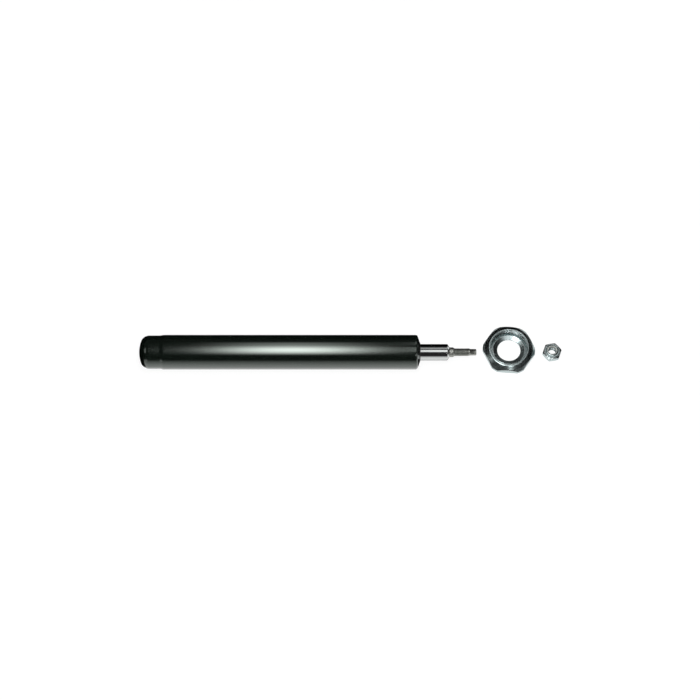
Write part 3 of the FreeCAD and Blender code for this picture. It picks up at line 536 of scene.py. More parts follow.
# %% Housing shell
WALL = 2.0 * MM
NECK_R = 20.75 * MM
NECK_END = 25.5 * MM
SWAGE_END = 30.5 * MM
CROWN_R = 40.5 * MM
KNUCKLE_R = 11.0 * MM
LIP_SLOPE = np.radians(19.5)
LIP_R = 14.0 * MM
LIP_CORNER_R = 3.0 * MM
LIP_EASE = 0.45 * MM
SPIN_RING_PITCH = 1.7 * MM
SPIN_RING_DEPTH = 0.035 * MM
STRAIGHT_MARGIN = 0.4 * MM
CROWN_STEPS = 110
INNER_CROWN_STEPS = 20
KNUCKLE_STEPS = 24
SWAGE_STEPS = 17
LIP_STEPS = 12
HOUSING_AROUND = 192

tube_r = tube_high.z
knuckle_ring = NECK_R - KNUCKLE_R
knuckle_angle = np.arcsin(knuckle_ring / (CROWN_R - KNUCKLE_R))
knuckle_x = CROWN_R - (CROWN_R - KNUCKLE_R) * np.cos(knuckle_angle)
lip_corner_ring = tube_r - LIP_CORNER_R
lip_corner_reach = (LIP_CORNER_R + (lip_corner_ring - LIP_R) * np.sin(LIP_SLOPE)) / np.cos(LIP_SLOPE)
lip_corner_x = tube_high.x - lip_corner_reach


def housing_line(inset, crown_steps, ring_depth):
    """Foot to lip, inset from the outer face: crown arc, knuckle arc, half a cosine wave of swage, lip arc.

    The crown dips inwards by ring_depth in even rings, as (1 - cos) of the way along it. One station more
    stands at each end of the straight stretches, because smooth shading would bend them otherwise.
    """
    crown = np.linspace(0, knuckle_angle, crown_steps)
    dip = ring_depth * (1 - np.cos(2 * np.pi * crown * CROWN_R / SPIN_RING_PITCH)) / 2
    crown_r = CROWN_R - inset - dip
    knuckle = np.linspace(knuckle_angle, np.pi / 2, KNUCKLE_STEPS)[1:]
    swage = np.linspace(0, 1, SWAGE_STEPS)
    lip = np.linspace(np.pi / 2, LIP_SLOPE, LIP_STEPS)
    along = np.concatenate((
        CROWN_R - crown_r * np.cos(crown),
        knuckle_x - (KNUCKLE_R - inset) * np.cos(knuckle),
        (knuckle_x + STRAIGHT_MARGIN, NECK_END - STRAIGHT_MARGIN),
        NECK_END + (SWAGE_END - NECK_END) * swage,
        (SWAGE_END + STRAIGHT_MARGIN, lip_corner_x - STRAIGHT_MARGIN),
        lip_corner_x + (LIP_CORNER_R - inset) * np.cos(lip),
    ))
    radius = np.concatenate((
        crown_r * np.sin(crown),
        knuckle_ring + (KNUCKLE_R - inset) * np.sin(knuckle),
        (NECK_R - inset, NECK_R - inset),
        NECK_R - inset + (tube_r - NECK_R) * (1 - np.cos(np.pi * swage)) / 2,
        (tube_r - inset, tube_r - inset),
        lip_corner_ring + (LIP_CORNER_R - inset) * np.sin(lip),
    ))
    return along[:, None], radius[:, None]


angles = np.linspace(0, 2 * np.pi, HOUSING_AROUND, endpoint=False)
outer_along, outer_radius = housing_line(0, CROWN_STEPS, SPIN_RING_DEPTH)
inner_along, inner_radius = housing_line(WALL, INNER_CROWN_STEPS, 0)
line, worn = outline(
    angles,
    (outer_along, outer_radius, 0),
    (tube_high.x, LIP_R, LIP_EASE),
    (tube_high.x - WALL / np.cos(LIP_SLOPE), LIP_R, LIP_EASE),
    (inner_along[::-1], inner_radius[::-1], 0),
)
housing = turned_piece("housing_shell", line, worn, angles, poled=True)

# %% [markdown]
# ## Black enamel
#
# The tube is sprayed with black enamel and clear lacquer, and baked. The eye reads it by its gloss: a satin
# highlight with soft ends and a trace of green, slightly uneven along the tube because the steel was drawn
# lengthwise underneath, and a fine orange peel. Colour hardly varies, so most of the finish is in roughness
# and bump. The lacquer could be a second skin of mesh, but the shader has a coat of its own for it.

# %% Enamel finish
ORANGE_PEEL = 2.4 * MM
PEEL_HEIGHT = 0.02 * MM
DRAW_LINE = 1.1 * MM
DRAW_LENGTH = 160 * MM
CLOUD = 45 * MM
# A Mix node shows other sockets for other kinds of data: these are its colours.
MIX_A = 6
MIX_B = 7
MIX_RESULT = 2

enamel, tree, place = new_finish("baked_black_enamel")
cloud = add(tree, "ShaderNodeTexNoise", {"Scale": 1 / CLOUD, "Detail": 3.0}, {"Vector": place})
tone = add(
    tree, "ShaderNodeMix", {MIX_A: linear("#0D1410"), MIX_B: linear("#131D17")},
    {"Factor": cloud.outputs["Fac"]}, data_type="RGBA",
)
drawn = add(
    tree, "ShaderNodeMapping", {"Scale": (1 / DRAW_LENGTH, 1 / DRAW_LINE, 1 / DRAW_LINE)}, {"Vector": place},
)
lines = add(tree, "ShaderNodeTexNoise", {"Scale": 1.0, "Detail": 2.0}, {"Vector": drawn.outputs[0]})
rough = add(tree, "ShaderNodeMapRange", {"To Min": 0.11, "To Max": 0.18}, {"Value": lines.outputs["Fac"]})
peel = add(tree, "ShaderNodeTexNoise", {"Scale": 1 / ORANGE_PEEL, "Detail": 1.0}, {"Vector": place})
bump = add(tree, "ShaderNodeBump", {"Distance": PEEL_HEIGHT}, {"Height": peel.outputs["Fac"]})
shader = add(
    tree, "ShaderNodeBsdfPrincipled",
    {
        "IOR": 1.6, "Specular Tint": linear("#E6FFEE"),
        "Coat Weight": 1.0, "Coat IOR": 1.6, "Coat Roughness": 0.13,
    },
    {
        "Base Color": tone.outputs[MIX_RESULT],
        "Roughness": rough.outputs["Result"],
        "Normal": bump.outputs["Normal"],
    },
)
add(tree, "ShaderNodeOutputMaterial", links={"Surface": shader.outputs[0]})
stand_for(housing, "reserve_tube", "cartridge", "black_enamel", enamel)
print(enamel.name, "with", len(tree.nodes), "nodes")

# %% [markdown]
# ## The rod and its stud
#
# The rod is one bar: inside, a thin spigot for the piston and a groove for the stop clip; outside, the
# chromed shaft, a shoulder, a collar, a threaded stud and a small hexagon to hold it by while the nut is
# tightened. A thread could be a helix swept by a Screw modifier and cut into the bar, but on a grid it is
# just a wave in the radius: it rises once per pitch along the axis and shifts by one pitch per turn.

# %% Rod with thread and hexagon
SPIGOT_R = 5.0 * MM
SPIGOT_BEVEL = 1.0 * MM
GROOVE_DEPTH = 0.75 * MM
GROOVE_GAP = 0.05 * MM
SHOULDER = 2.5 * MM
COLLAR_LENGTH = 5.6 * MM
STUD_LENGTH = 20.3 * MM
STUD_POINT = 2.4 * MM
STUD_PITCH = 1.25 * MM
TIP_FLATS = 7.0 * MM
TIP_LENGTH = 7.1 * MM
TIP_BEVEL = 0.8 * MM
TIP_STEP = 0.02 * MM
TIP_CORNER_SHARE = 0.985
# Shares of the pitch: height of the thread, flat of its crest and flat of its root.
THREAD_HEIGHT = 0.541
CREST_FLAT = 0.125
ROOT_FLAT = 0.25
STATIONS_PER_PITCH = 20
ROD_AROUND = 120

mounts = {mount["name"]: mount for mount in frame["record"]["mounts"]}


def mount_radius(name):
    """Radius of one of the record's mounts, in metres."""
    return mounts[name]["dims"]["r_mm"] * MM


def thread_wave(along, angles, pitch):
    """Height of a right-hand thread from root 0 to crest 1: a triangle wave of pitches along less turns."""
    turns = along / pitch - angles / (2 * np.pi)
    rise = 1 - np.abs(2 * (turns % 1) - 1)
    return np.clip((rise - ROOT_FLAT) / (1 - ROOT_FLAT - CREST_FLAT), 0, 1)


def thread_fade(along, start, end, pitch):
    """Share of depth that runs a thread out over a pitch at both ends: a ramp, smoothed as 3t^2 - 2t^3."""
    ramp = np.clip(np.minimum(along - start, end - along) / pitch, 0, 1)
    return ramp ** 2 * (3 - 2 * ramp)


def hex_radius(angles, across_flats, corner_r):
    """Radius of a hexagon: half its flats over cos of the angle from a flat's middle, up to corner_r."""
    from_flat = angles % (np.pi / 3) - np.pi / 6
    return np.minimum(across_flats / 2 / np.cos(from_flat), corner_r)


rod_r = rod_high.z
collar_r = mount_radius("rod_collar")
stud_r = mount_radius("rod_stud")
rod_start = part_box("piston_intake_stop")[1].x
clip_low, clip_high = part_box("rebound_stop_clip")
tip_corner_r = TIP_FLATS / np.sqrt(3)
tip_x = rod_high.x - TIP_LENGTH
stud_x = tip_x - STUD_LENGTH
collar_x = stud_x - COLLAR_LENGTH
thread_end = tip_x - STUD_POINT

angles = np.linspace(0, 2 * np.pi, ROD_AROUND, endpoint=False)
thread_steps = int((thread_end - stud_x) / STUD_PITCH * STATIONS_PER_PITCH)
thread_x = np.linspace(stud_x, thread_end, thread_steps)[1:, None]
thread_cut = STUD_PITCH * THREAD_HEIGHT * thread_fade(thread_x, stud_x, thread_end + STUD_PITCH, STUD_PITCH)
thread_r = stud_r - thread_cut * (1 - thread_wave(thread_x, angles, STUD_PITCH))
tip_r = hex_radius(angles + np.pi / 6, TIP_FLATS, tip_corner_r * TIP_CORNER_SHARE)
tip_end_r = tip_corner_r - TIP_BEVEL
groove_r = rod_r - GROOVE_DEPTH
line, worn = outline(
    angles,
    (rod_low.x, 0, 0),
    (rod_low.x, SPIGOT_R - SPIGOT_BEVEL, EASE_BROKEN),
    (rod_low.x + SPIGOT_BEVEL, SPIGOT_R, EASE_BROKEN),
    (rod_start, SPIGOT_R, EASE_BROKEN),
    (rod_start, rod_r, EASE_SOFT),
    (clip_low.x - GROOVE_GAP, rod_r, EASE_FINE),
    (clip_low.x - GROOVE_GAP, groove_r, EASE_FINE),
    (clip_high.x + GROOVE_GAP, groove_r, EASE_FINE),
    (clip_high.x + GROOVE_GAP, rod_r, EASE_FINE),
    (collar_x - SHOULDER, rod_r, EASE_BLUNT),
    (collar_x, collar_r, EASE_SOFT),
    (stud_x - (collar_r - stud_r), collar_r, EASE_FULL),
    (stud_x, stud_r, EASE_CUT),
    (thread_x, thread_r, 0),
    (tip_x, tip_corner_r, 0),
    (tip_x + TIP_STEP, tip_r, 0),
    (rod_high.x - (tip_r - tip_end_r), tip_r, EASE_FINE),
    (rod_high.x, tip_end_r, EASE_FINE),
    (rod_high.x, 0, 0),
)
rod = turned_piece("rod_and_stud", line, worn, angles, poled=True)
bare_from = collar_x - SHOULDER / 2
on_stud = line[:-1, 0, 0] > bare_from
rod.data.polygons.foreach_set("material_index", np.repeat(on_stud, len(angles)).astype(np.int32))
print(f"stud thread of {thread_steps / STATIONS_PER_PITCH:.1f} turns, {STUD_PITCH / MM} mm pitch")

# %% [markdown]
# ## Hard chrome and turned steel
#
# The shaft is ground, hard-chromed and polished, because the seal runs on it: almost a mirror, with the
# finest of grinding lines round it. The plating stops at the shoulder, and collar, stud and hexagon are plain
# turned steel, grey and dull. Two meshes would leave a seam there, so one mesh carries both finishes and each
# face picks its own.

# %% Chrome and steel finishes
GRIND_LINE = 0.35 * MM
GRIND_HEIGHT = 0.0006 * MM
HAZE = 14 * MM
STAIN = 3.5 * MM
GRIT = 0.5 * MM
GRIT_HEIGHT = 0.02 * MM

# Real grinding lines are some hundredths of a millimetre apart, too fine to show, so they are drawn coarser.
chrome, tree, place = new_finish("ground_hard_chrome")
ground = add(tree, "ShaderNodeMapping", {"Scale": (1 / GRIND_LINE, 1 / HAZE, 1 / HAZE)}, {"Vector": place})
lines = add(tree, "ShaderNodeTexNoise", {"Scale": 1.0, "Detail": 2.0}, {"Vector": ground.outputs[0]})
haze = add(tree, "ShaderNodeTexNoise", {"Scale": 1 / HAZE, "Detail": 3.0}, {"Vector": place})
rough = add(tree, "ShaderNodeMapRange", {"To Min": 0.05, "To Max": 0.12}, {"Value": haze.outputs["Fac"]})
bump = add(tree, "ShaderNodeBump", {"Distance": GRIND_HEIGHT}, {"Height": lines.outputs["Fac"]})
tone = add(
    tree, "ShaderNodeMix", {MIX_A: linear("#C2C6C5"), MIX_B: linear("#CED1D0")},
    {"Factor": lines.outputs["Fac"]}, data_type="RGBA",
)
shader = add(
    tree, "ShaderNodeBsdfPrincipled", {"Metallic": 1.0},
    {
        "Base Color": tone.outputs[MIX_RESULT],
        "Roughness": rough.outputs["Result"],
        "Normal": bump.outputs["Normal"],
    },
)
add(tree, "ShaderNodeOutputMaterial", links={"Surface": shader.outputs[0]})

steel, tree, place = new_finish("turned_bare_steel")
stain = add(tree, "ShaderNodeTexNoise", {"Scale": 1 / STAIN, "Detail": 4.0}, {"Vector": place})
tone = add(
    tree, "ShaderNodeMix", {MIX_A: linear("#878984"), MIX_B: linear("#B6B8B2")},
    {"Factor": stain.outputs["Fac"]}, data_type="RGBA",
)
grit = add(tree, "ShaderNodeTexNoise", {"Scale": 1 / GRIT, "Detail": 2.0}, {"Vector": place})
rough = add(tree, "ShaderNodeMapRange", {"To Min": 0.34, "To Max": 0.6}, {"Value": grit.outputs["Fac"]})
bump = add(tree, "ShaderNodeBump", {"Distance": GRIT_HEIGHT}, {"Height": grit.outputs["Fac"]})
shader = add(
    tree, "ShaderNodeBsdfPrincipled", {"Metallic": 1.0},
    {
        "Base Color": tone.outputs[MIX_RESULT],
        "Roughness": rough.outputs["Result"],
        "Normal": bump.outputs["Normal"],
    },
)
add(tree, "ShaderNodeOutputMaterial", links={"Surface": shader.outputs[0]})
stand_for(rod, "piston_rod", "rod", "hard_chrome", chrome, steel)
print(chrome.name, "and", steel.name, "on", rod.name)

# %% [markdown]
# ## The seal
#
# A rubber ring fills the gap between the rolled lip and the rod. Only its dust lip shows, a soft cone that
# wipes the rod. The solid's sharp corners would look like metal, so its outline is drawn again with soft
# ones. It closes on itself, with the oil lip and the groove of the garter spring inside.

# %% Rubber seal
SEAL_R = 13.15 * MM
SEAL_LIP_R = 12.3 * MM
SEAL_LIP_LENGTH = 5.0 * MM
SEAL_FLARE = 0.9 * MM
SEAL_RELIEF = 1.4 * MM
SEAL_RELIEF_LENGTH = 2.0 * MM
NOSE_WALL = 0.5 * MM
NOSE_LENGTH = 0.6 * MM
MAIN_LIP = 2.6 * MM
RUNNING_GAP = 0.04 * MM
GARTER_GAP = 0.05 * MM
GROOVE_STEPS = 13

seal_run_r = rod_r + RUNNING_GAP
guide_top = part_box("rod_guide")[1].x
garter_low, garter_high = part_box("garter_spring")
garter_x = (garter_low.x + garter_high.x) / 2
garter_groove_r = (garter_high.x - garter_low.x) / 2 + GARTER_GAP
nose_r = seal_run_r + NOSE_WALL
nose_x = tube_high.x - (nose_r - LIP_R) * np.tan(LIP_SLOPE)
seal_edge_x = tube_high.x - (SEAL_R - LIP_R) * np.tan(LIP_SLOPE)
groove = np.linspace(0, np.pi, GROOVE_STEPS)[:, None]
angles = np.linspace(0, 2 * np.pi, ROD_AROUND, endpoint=False)
line, worn = outline(
    angles,
    (guide_top - MAIN_LIP, seal_run_r, EASE_FINE),
    (guide_top - SEAL_LIP_LENGTH, seal_run_r + SEAL_FLARE, EASE_CUT),
    (guide_top - SEAL_LIP_LENGTH, SEAL_LIP_R, EASE_CUT),
    (garter_x - garter_groove_r * np.cos(groove), SEAL_LIP_R - garter_groove_r * np.sin(groove), 0),
    (guide_top, SEAL_LIP_R, EASE_FINE),
    (guide_top, SEAL_R, EASE_FINE),
    (seal_edge_x, SEAL_R, EASE_BROKEN),
    (nose_x, nose_r, EASE_CUT),
    (nose_x - NOSE_LENGTH, seal_run_r, EASE_FINE),
    (nose_x - NOSE_LENGTH - SEAL_RELIEF_LENGTH, seal_run_r + SEAL_RELIEF, EASE_FINE),
    (guide_top, seal_run_r + SEAL_RELIEF, EASE_FINE),
)
seal = turned_piece("dust_seal", line, worn, angles)

# %% [markdown]
# ## Seal rubber
#
# Nitrile rubber straight from a mould is black, matt and a little dusty, with a fine even skin. A paler tone
# mixed in by clouds is the dust, and a fine grain drives roughness and bump.

# %% Rubber finish
RUBBER_GRAIN = 0.6 * MM
RUBBER_HEIGHT = 0.02 * MM
BLOOM = 6 * MM

rubber, tree, place = new_finish("moulded_nitrile_rubber")
bloom = add(tree, "ShaderNodeTexNoise", {"Scale": 1 / BLOOM, "Detail": 3.0}, {"Vector": place})
tone = add(
    tree, "ShaderNodeMix", {MIX_A: linear("#141414"), MIX_B: linear("#2A2A29")},
    {"Factor": bloom.outputs["Fac"]}, data_type="RGBA",
)
grain = add(tree, "ShaderNodeTexNoise", {"Scale": 1 / RUBBER_GRAIN, "Detail": 2.0}, {"Vector": place})
rough = add(tree, "ShaderNodeMapRange", {"To Min": 0.5, "To Max": 0.75}, {"Value": grain.outputs["Fac"]})
bump = add(tree, "ShaderNodeBump", {"Distance": RUBBER_HEIGHT}, {"Height": grain.outputs["Fac"]})
shader = add(
    tree, "ShaderNodeBsdfPrincipled", {"IOR": 1.52},
    {
        "Base Color": tone.outputs[MIX_RESULT],
        "Roughness": rough.outputs["Result"],
        "Normal": bump.outputs["Normal"],
    },
)
add(tree, "ShaderNodeOutputMaterial", links={"Surface": shader.outputs[0]})
stand_for(seal, "rod_seal", "cartridge", "seal_rubber", rubber)
print(rubber.name, "on", seal.name)

# %% [markdown]
# ## The gland nut
#
# The big nut screws on the strut's outer tube and holds the cartridge down by its rim. It is turned from
# hexagon bar: the lathe rounds the upper half into a crown, bevels the corners more steeply, bores it and
# cuts the thread with a run-out groove under it. It leaves a floor with a hole for the rod and a raised
# conical seat for the rolled lip. A boolean of a hexagon and a lathe form would leave sharp, uneven edges, so
# here the outline itself depends on the angle: its outer radius is the hexagon's, and where the crown meets
# the flat its height follows from that radius. Extra angles stand next to each corner to keep the flats flat.

# %% Gland nut
GLAND_FLATS = 60.0 * MM
GLAND_CORNER_R = 32.5 * MM
GLAND_FACE_R = 24.0 * MM
GLAND_SHOULDER_R = 3.0 * MM
GLAND_CROWN = np.radians(40)
GLAND_CROWN_R = 29.6 * MM
GLAND_CORNER_HEIGHT = 4.1 * MM
GLAND_FOOT_BEVEL = 0.8 * MM
GLAND_HOLE_BEVEL = 0.6 * MM
GLAND_HOLE_DEPTH = 2.2 * MM
GLAND_SEAT_R = 19.5 * MM
GLAND_FLOOR = 2.6 * MM
GLAND_ENTRY_BEVEL = 0.5 * MM
GLAND_PITCH = 1.5 * MM
GLAND_THREAD_CUT = 0.8 * MM
GLAND_RELIEF_R = 23.9 * MM
GLAND_RELIEF_WIDTH = 1.7 * MM
GLAND_RELIEF_TAPER = 0.3 * MM
GLAND_TURN = np.radians(-4.5)
EDGE_BREAK = 0.35 * MM
SHOULDER_STEPS = 10
GLAND_FLAT_STEPS = 24
CORNER_STEPS = 4
BESIDE = np.radians(0.4)


def hex_angles(across_flats, corner_r, steps):
    """Angles round a hexagon that stand close together beside each place where a flat meets its corner."""
    half_flat = np.arccos(across_flats / 2 / corner_r)
    low = np.pi / 6 - half_flat
    high = np.pi / 6 + half_flat
    corner = np.linspace(0, low, CORNER_STEPS, endpoint=False)
    mirrored = (np.pi / 3 - corner)[:0:-1]
    flat = np.linspace(low + BESIDE, high - BESIDE, steps)
    side = np.concatenate((corner, (low - BESIDE, low), flat, (high, high + BESIDE), mirrored))
    return (np.arange(6)[:, None] * np.pi / 3 + np.unique(side)).ravel()


gland_low, gland_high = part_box("gland_nut")
gland_height = gland_high.z - gland_low.z
gland_middle = mounts["gland_thread"]["pos_m"]
gland_bore = mount_radius("gland_thread")
gland_hole = mount_radius("gland_rod_hole")
shoulder = np.linspace(GLAND_CROWN, 0, SHOULDER_STEPS)[:, None]
shoulder_r = GLAND_FACE_R + GLAND_SHOULDER_R * np.sin(shoulder)
shoulder_z = gland_height - GLAND_SHOULDER_R * (1 - np.cos(shoulder))

angles = hex_angles(GLAND_FLATS, GLAND_CORNER_R, GLAND_FLAT_STEPS)
side_r = hex_radius(angles, GLAND_FLATS, GLAND_CORNER_R)
foot_break = np.maximum(EDGE_BREAK, side_r - (GLAND_CORNER_R - GLAND_FOOT_BEVEL))
crown_foot = shoulder_z[0] - (GLAND_CROWN_R - shoulder_r[0]) * np.tan(GLAND_CROWN)
corner_slope = (crown_foot - GLAND_CORNER_HEIGHT) / (GLAND_CORNER_R - GLAND_CROWN_R)
corner_top = crown_foot - (side_r - GLAND_CROWN_R) * corner_slope
seat_top = GLAND_HOLE_DEPTH + (GLAND_SEAT_R - gland_hole) * np.tan(LIP_SLOPE)
thread_top = gland_height - GLAND_ENTRY_BEVEL
thread_foot = GLAND_FLOOR + GLAND_RELIEF_WIDTH
thread_steps = int((thread_top - thread_foot) / GLAND_PITCH * STATIONS_PER_PITCH)
thread_z = np.linspace(thread_top, thread_foot, thread_steps)[1:, None]
thread_cut = GLAND_THREAD_CUT * thread_fade(thread_z, thread_foot - GLAND_PITCH, thread_top, GLAND_PITCH)
thread_r = gland_bore + thread_cut * (1 - thread_wave(thread_z, angles, GLAND_PITCH))
line, worn = outline(
    angles,
    (GLAND_HOLE_BEVEL, gland_hole, EASE_CUT),
    (0, gland_hole + GLAND_HOLE_BEVEL, EASE_CUT),
    (0, side_r - foot_break, EASE_KEEN),
    (foot_break, side_r, EASE_KEEN),
    (corner_top, side_r, EASE_BROKEN),
    (crown_foot, GLAND_CROWN_R, EASE_CUT),
    (shoulder_z, shoulder_r, 0),
    (gland_height, gland_bore + GLAND_ENTRY_BEVEL, EASE_FINE),
    (thread_top, gland_bore, 0),
    (thread_z, thread_r, 0),
    (thread_foot - GLAND_RELIEF_TAPER, GLAND_RELIEF_R, EASE_CUT),
    (GLAND_FLOOR, GLAND_RELIEF_R, EASE_FULL),
    (GLAND_FLOOR, GLAND_SEAT_R, EASE_CUT),
    (seat_top, GLAND_SEAT_R, EASE_BROKEN),
    (GLAND_HOLE_DEPTH, gland_hole, EASE_FULL),
)
gland_foot = (gland_middle[0], gland_middle[1], gland_low.z)
gland = turned_piece("gland_nut_body", line, worn, angles + GLAND_TURN, gland_foot, upright=True)
print(f"gland nut thread of {thread_steps / STATIONS_PER_PITCH:.1f} turns")

# %% [markdown]
# ## Bright zinc plate
#
# Both nuts are plated with bright zinc: a bluish silver, blank like a mirror where the lathe left it smooth,
# a little cloudy elsewhere, and rubbed bright along its edges. The lathe's fine lines run round the nut's own
# axis, so they follow the radius that each vertex carries as an attribute.

# %% Zinc finish
ZINC_CLOUD = 7 * MM
ZINC_GRAIN = 0.8 * MM
ZINC_HEIGHT = 0.012 * MM
LATHE_LINE = 0.45 * MM
LATHE_HEIGHT = 0.004 * MM

# Lathe lines are about a tenth of a millimetre apart on the real nut, and are drawn coarser here to show.
zinc, tree, place = new_finish("bright_zinc_plate")
cloud = add(tree, "ShaderNodeTexNoise", {"Scale": 1 / ZINC_CLOUD, "Detail": 4.0}, {"Vector": place})
tone = add(
    tree, "ShaderNodeMix", {MIX_A: linear("#A6B6B7"), MIX_B: linear("#CAD5D5")},
    {"Factor": cloud.outputs["Fac"]}, data_type="RGBA",
)
edge = add(tree, "ShaderNodeAttribute", attribute_name="worn_edge")
rubbed = add(
    tree, "ShaderNodeMix", {MIX_B: linear("#DDE2E2")},
    {"Factor": edge.outputs["Fac"], MIX_A: tone.outputs[MIX_RESULT]}, data_type="RGBA",
)
radius = add(tree, "ShaderNodeAttribute", attribute_name="from_axis")
step = add(tree, "ShaderNodeMath", {1: 1 / LATHE_LINE}, {0: radius.outputs["Fac"]}, operation="MULTIPLY")
lines = add(
    tree, "ShaderNodeTexNoise", {"Scale": 1.0, "Detail": 2.0}, {"W": step.outputs[0]}, noise_dimensions="1D",
)
grain = add(tree, "ShaderNodeTexNoise", {"Scale": 1 / ZINC_GRAIN, "Detail": 3.0}, {"Vector": place})
rough = add(tree, "ShaderNodeMapRange", {"To Min": 0.18, "To Max": 0.32}, {"Value": cloud.outputs["Fac"]})
fine = add(tree, "ShaderNodeBump", {"Distance": LATHE_HEIGHT}, {"Height": lines.outputs["Fac"]})
bump = add(
    tree, "ShaderNodeBump", {"Distance": ZINC_HEIGHT},
    {"Height": grain.outputs["Fac"], "Normal": fine.outputs["Normal"]},
)
shader = add(
    tree, "ShaderNodeBsdfPrincipled", {"Metallic": 1.0},
    {
        "Base Color": rubbed.outputs[MIX_RESULT],
        "Roughness": rough.outputs["Result"],
        "Normal": bump.outputs["Normal"],
    },
)
add(tree, "ShaderNodeOutputMaterial", links={"Surface": shader.outputs[0]})
stand_for(gland, "gland_nut", "gland_nut", "zinc_plate", zinc)
print(zinc.name, "on", gland.name)

# %% [markdown]
# ## The rod nut and its locking ring
#
# The small nut has a hexagon bevelled on both faces and a thin round crown that is rolled in over a nylon
# ring. The stud cuts its own thread in the ring, which then grips it. Both are outlines again: the nut's
# changes with the angle, as the gland nut's does, and the ring's doesn't.

# %% Rod nut
LOCK_FLATS = 21.0 * MM
LOCK_HEX_HEIGHT = 7.2 * MM
LOCK_FACE_R = 9.8 * MM
LOCK_CROWN_R = 8.6 * MM
LOCK_MOUTH_R = 6.4 * MM
LOCK_CROWN_WALL = 0.9 * MM
LOCK_ENTRY_BEVEL = 0.8 * MM
LOCK_BEVEL_SLOPE = np.tan(np.radians(30))
LOCK_TURN = np.radians(10.5)
LOCK_CORNER_SHARE = 0.99
LOCK_FLAT_STEPS = 20
ROLL_STEPS = 12

lock_low, lock_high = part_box("lock_nut")
lock_height = lock_high.z - lock_low.z
lock_middle = mounts["lock_thread"]["pos_m"]
lock_bore = mount_radius("lock_thread")
lock_corner_r = LOCK_FLATS / np.sqrt(3) * LOCK_CORNER_SHARE
lock_round = LOCK_CROWN_R - LOCK_MOUTH_R
lock_pocket = LOCK_CROWN_R - LOCK_CROWN_WALL

angles = hex_angles(LOCK_FLATS, lock_corner_r, LOCK_FLAT_STEPS)
side_r = hex_radius(angles, LOCK_FLATS, lock_corner_r)
bevel = (side_r - LOCK_FACE_R) * LOCK_BEVEL_SLOPE
thread_steps = int((LOCK_HEX_HEIGHT - LOCK_ENTRY_BEVEL) / STUD_PITCH * STATIONS_PER_PITCH)
thread_z = np.linspace(LOCK_HEX_HEIGHT, LOCK_ENTRY_BEVEL, thread_steps)[1:-1, None]
thread_cut = STUD_PITCH * THREAD_HEIGHT * thread_fade(thread_z, LOCK_ENTRY_BEVEL, LOCK_HEX_HEIGHT, STUD_PITCH)
thread_r = lock_bore + thread_cut * (1 - thread_wave(thread_z, angles, STUD_PITCH))
roll = np.linspace(0, np.pi / 2, ROLL_STEPS)[:, None]
line, worn = outline(
    angles,
    (LOCK_ENTRY_BEVEL, lock_bore, 0),
    (0, lock_bore + LOCK_ENTRY_BEVEL, EASE_KEEN),
    (0, LOCK_FACE_R, EASE_CUT),
    (bevel, side_r, EASE_CUT),
    (LOCK_HEX_HEIGHT - bevel, side_r, EASE_CUT),
    (LOCK_HEX_HEIGHT, LOCK_FACE_R, EASE_CUT),
    (LOCK_HEX_HEIGHT, LOCK_CROWN_R, EASE_SOFT),
    (lock_height - lock_round * (1 - np.sin(roll)), LOCK_MOUTH_R + lock_round * np.cos(roll), 0),
    (lock_height - LOCK_CROWN_WALL, LOCK_MOUTH_R, EASE_BROKEN),
    (lock_height - LOCK_CROWN_WALL, lock_pocket, EASE_CUT),
    (LOCK_HEX_HEIGHT, lock_pocket, EASE_CUT),
    (LOCK_HEX_HEIGHT, lock_bore, 0),
    (thread_z, thread_r, 0),
)
lock_foot = (lock_middle[0], lock_middle[1], lock_low.z)
lock_nut = turned_piece("rod_nut_body", line, worn, angles + LOCK_TURN, lock_foot, upright=True)
stand_for(lock_nut, "lock_nut", "lock_nut", "zinc_plate", zinc)

# %% Locking ring
RING_R = 7.65 * MM
RING_HOLE = 4.7 * MM
RING_AROUND = 96

ring_low, ring_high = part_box("lock_nut_insert")
angles = np.linspace(0, 2 * np.pi, RING_AROUND, endpoint=False)
line, worn = outline(
    angles,
    (ring_low.z, RING_HOLE, EASE_SOFT),
    (ring_low.z, RING_R, EASE_FINE),
    (ring_high.z, RING_R, EASE_FINE),
    (ring_high.z, RING_HOLE, EASE_ROUND),
)
ring = turned_piece("rod_nut_ring", line, worn, angles, (lock_middle[0], lock_middle[1], 0), upright=True)

# %% [markdown]
# ## Nylon
#
# The ring is moulded nylon, milky and waxy. Light could be made to spread under its skin, but on so small a
# ring a mottled pale tone with a soft gloss gives the eye the same.

# %% Nylon finish
NYLON_MOTTLE = 1.5 * MM
NYLON_HEIGHT = 0.01 * MM

nylon, tree, place = new_finish("moulded_nylon")
mottle = add(tree, "ShaderNodeTexNoise", {"Scale": 1 / NYLON_MOTTLE, "Detail": 3.0}, {"Vector": place})
tone = add(
    tree, "ShaderNodeMix", {MIX_A: linear("#B9C0BC"), MIX_B: linear("#DDE0DB")},
    {"Factor": mottle.outputs["Fac"]}, data_type="RGBA",
)
rough = add(tree, "ShaderNodeMapRange", {"To Min": 0.3, "To Max": 0.5}, {"Value": mottle.outputs["Fac"]})
bump = add(tree, "ShaderNodeBump", {"Distance": NYLON_HEIGHT}, {"Height": mottle.outputs["Fac"]})
shader = add(
    tree, "ShaderNodeBsdfPrincipled", {"IOR": 1.53},
    {
        "Base Color": tone.outputs[MIX_RESULT],
        "Roughness": rough.outputs["Result"],
        "Normal": bump.outputs["Normal"],
    },
)
add(tree, "ShaderNodeOutputMaterial", links={"Surface": shader.outputs[0]})
stand_for(ring, "lock_nut_insert", "lock_nut", "nylon", nylon)
print(nylon.name, "on", ring.name)

# %% [markdown]
# ## The pieces inside
#
# The valves, guide, springs and tubes inside the housing keep the solids of the frame, whose shapes are
# right. They get the finish of their material slot: each is a base tone that varies with a grain of real
# size, which also drives roughness and bump. Each could have a graph of its own, but they all share one
# recipe, so a table of their values and one loop is enough.

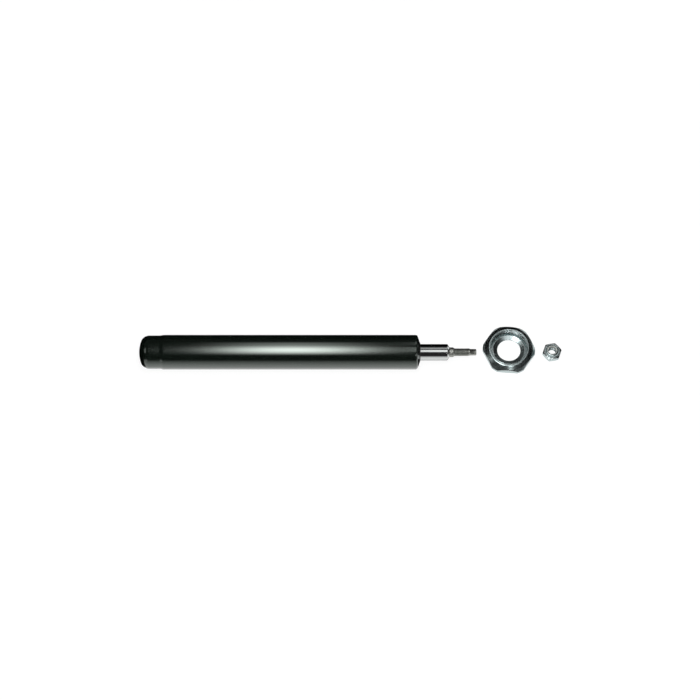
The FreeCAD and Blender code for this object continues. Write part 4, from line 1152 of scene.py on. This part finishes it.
# %% Inner finishes
INNER_FINISHES = {
    # slot: name, dark and light tone, metallic, roughness from and to, grain and its height in mm
    # Drawn and turned steel under oil is grey and smooth, with soft clouds.
    "drawn_steel": ("oiled_drawn_steel", "#6F7375", "#9EA2A3", 1.0, 0.25, 0.45, 2.0, 0.008),
    # Iron pressed from powder is dark, dull and full of fine pores.
    "sintered_iron": ("sintered_iron", "#4A4A49", "#7A7977", 1.0, 0.45, 0.7, 0.5, 0.03),
    # Bronze that a rod runs in is a warm brown gold with a soft shine.
    "bearing_bronze": ("bearing_bronze", "#8A6A3C", "#B88F55", 1.0, 0.3, 0.5, 0.8, 0.01),
    # Filled plastic is dark, evenly matt and slightly green.
    "band_plastic": ("filled_plastic_band", "#2E3A36", "#47554F", 0.0, 0.4, 0.6, 0.7, 0.01),
    # Tempered spring steel is bluish, dark and rather shiny.
    "spring_steel": ("blued_spring_steel", "#3F4650", "#6A7078", 1.0, 0.22, 0.4, 1.5, 0.006),
}

inner = {"seal_rubber": rubber}
for slot, (name, dark, light, metallic, smooth, dull, grain_mm, height_mm) in INNER_FINISHES.items():
    finish, tree, place = new_finish(name)
    grain = add(tree, "ShaderNodeTexNoise", {"Scale": 1 / (grain_mm * MM), "Detail": 4.0}, {"Vector": place})
    tone = add(
        tree, "ShaderNodeMix", {MIX_A: linear(dark), MIX_B: linear(light)},
        {"Factor": grain.outputs["Fac"]}, data_type="RGBA",
    )
    rough = add(
        tree, "ShaderNodeMapRange", {"To Min": smooth, "To Max": dull}, {"Value": grain.outputs["Fac"]},
    )
    bump = add(tree, "ShaderNodeBump", {"Distance": height_mm * MM}, {"Height": grain.outputs["Fac"]})
    shader = add(
        tree, "ShaderNodeBsdfPrincipled", {"Metallic": metallic},
        {
            "Base Color": tone.outputs[MIX_RESULT],
            "Roughness": rough.outputs["Result"],
            "Normal": bump.outputs["Normal"],
        },
    )
    add(tree, "ShaderNodeOutputMaterial", links={"Surface": shader.outputs[0]})
    inner[slot] = finish

for subpart in frame["record"]["subparts"]:
    if subpart["material_slot"] in inner:
        materials = frame["nodes"][subpart["node"]].data.materials
        materials.clear()
        materials.append(inner[subpart["material_slot"]])
print(len(inner), "finishes on the pieces inside")
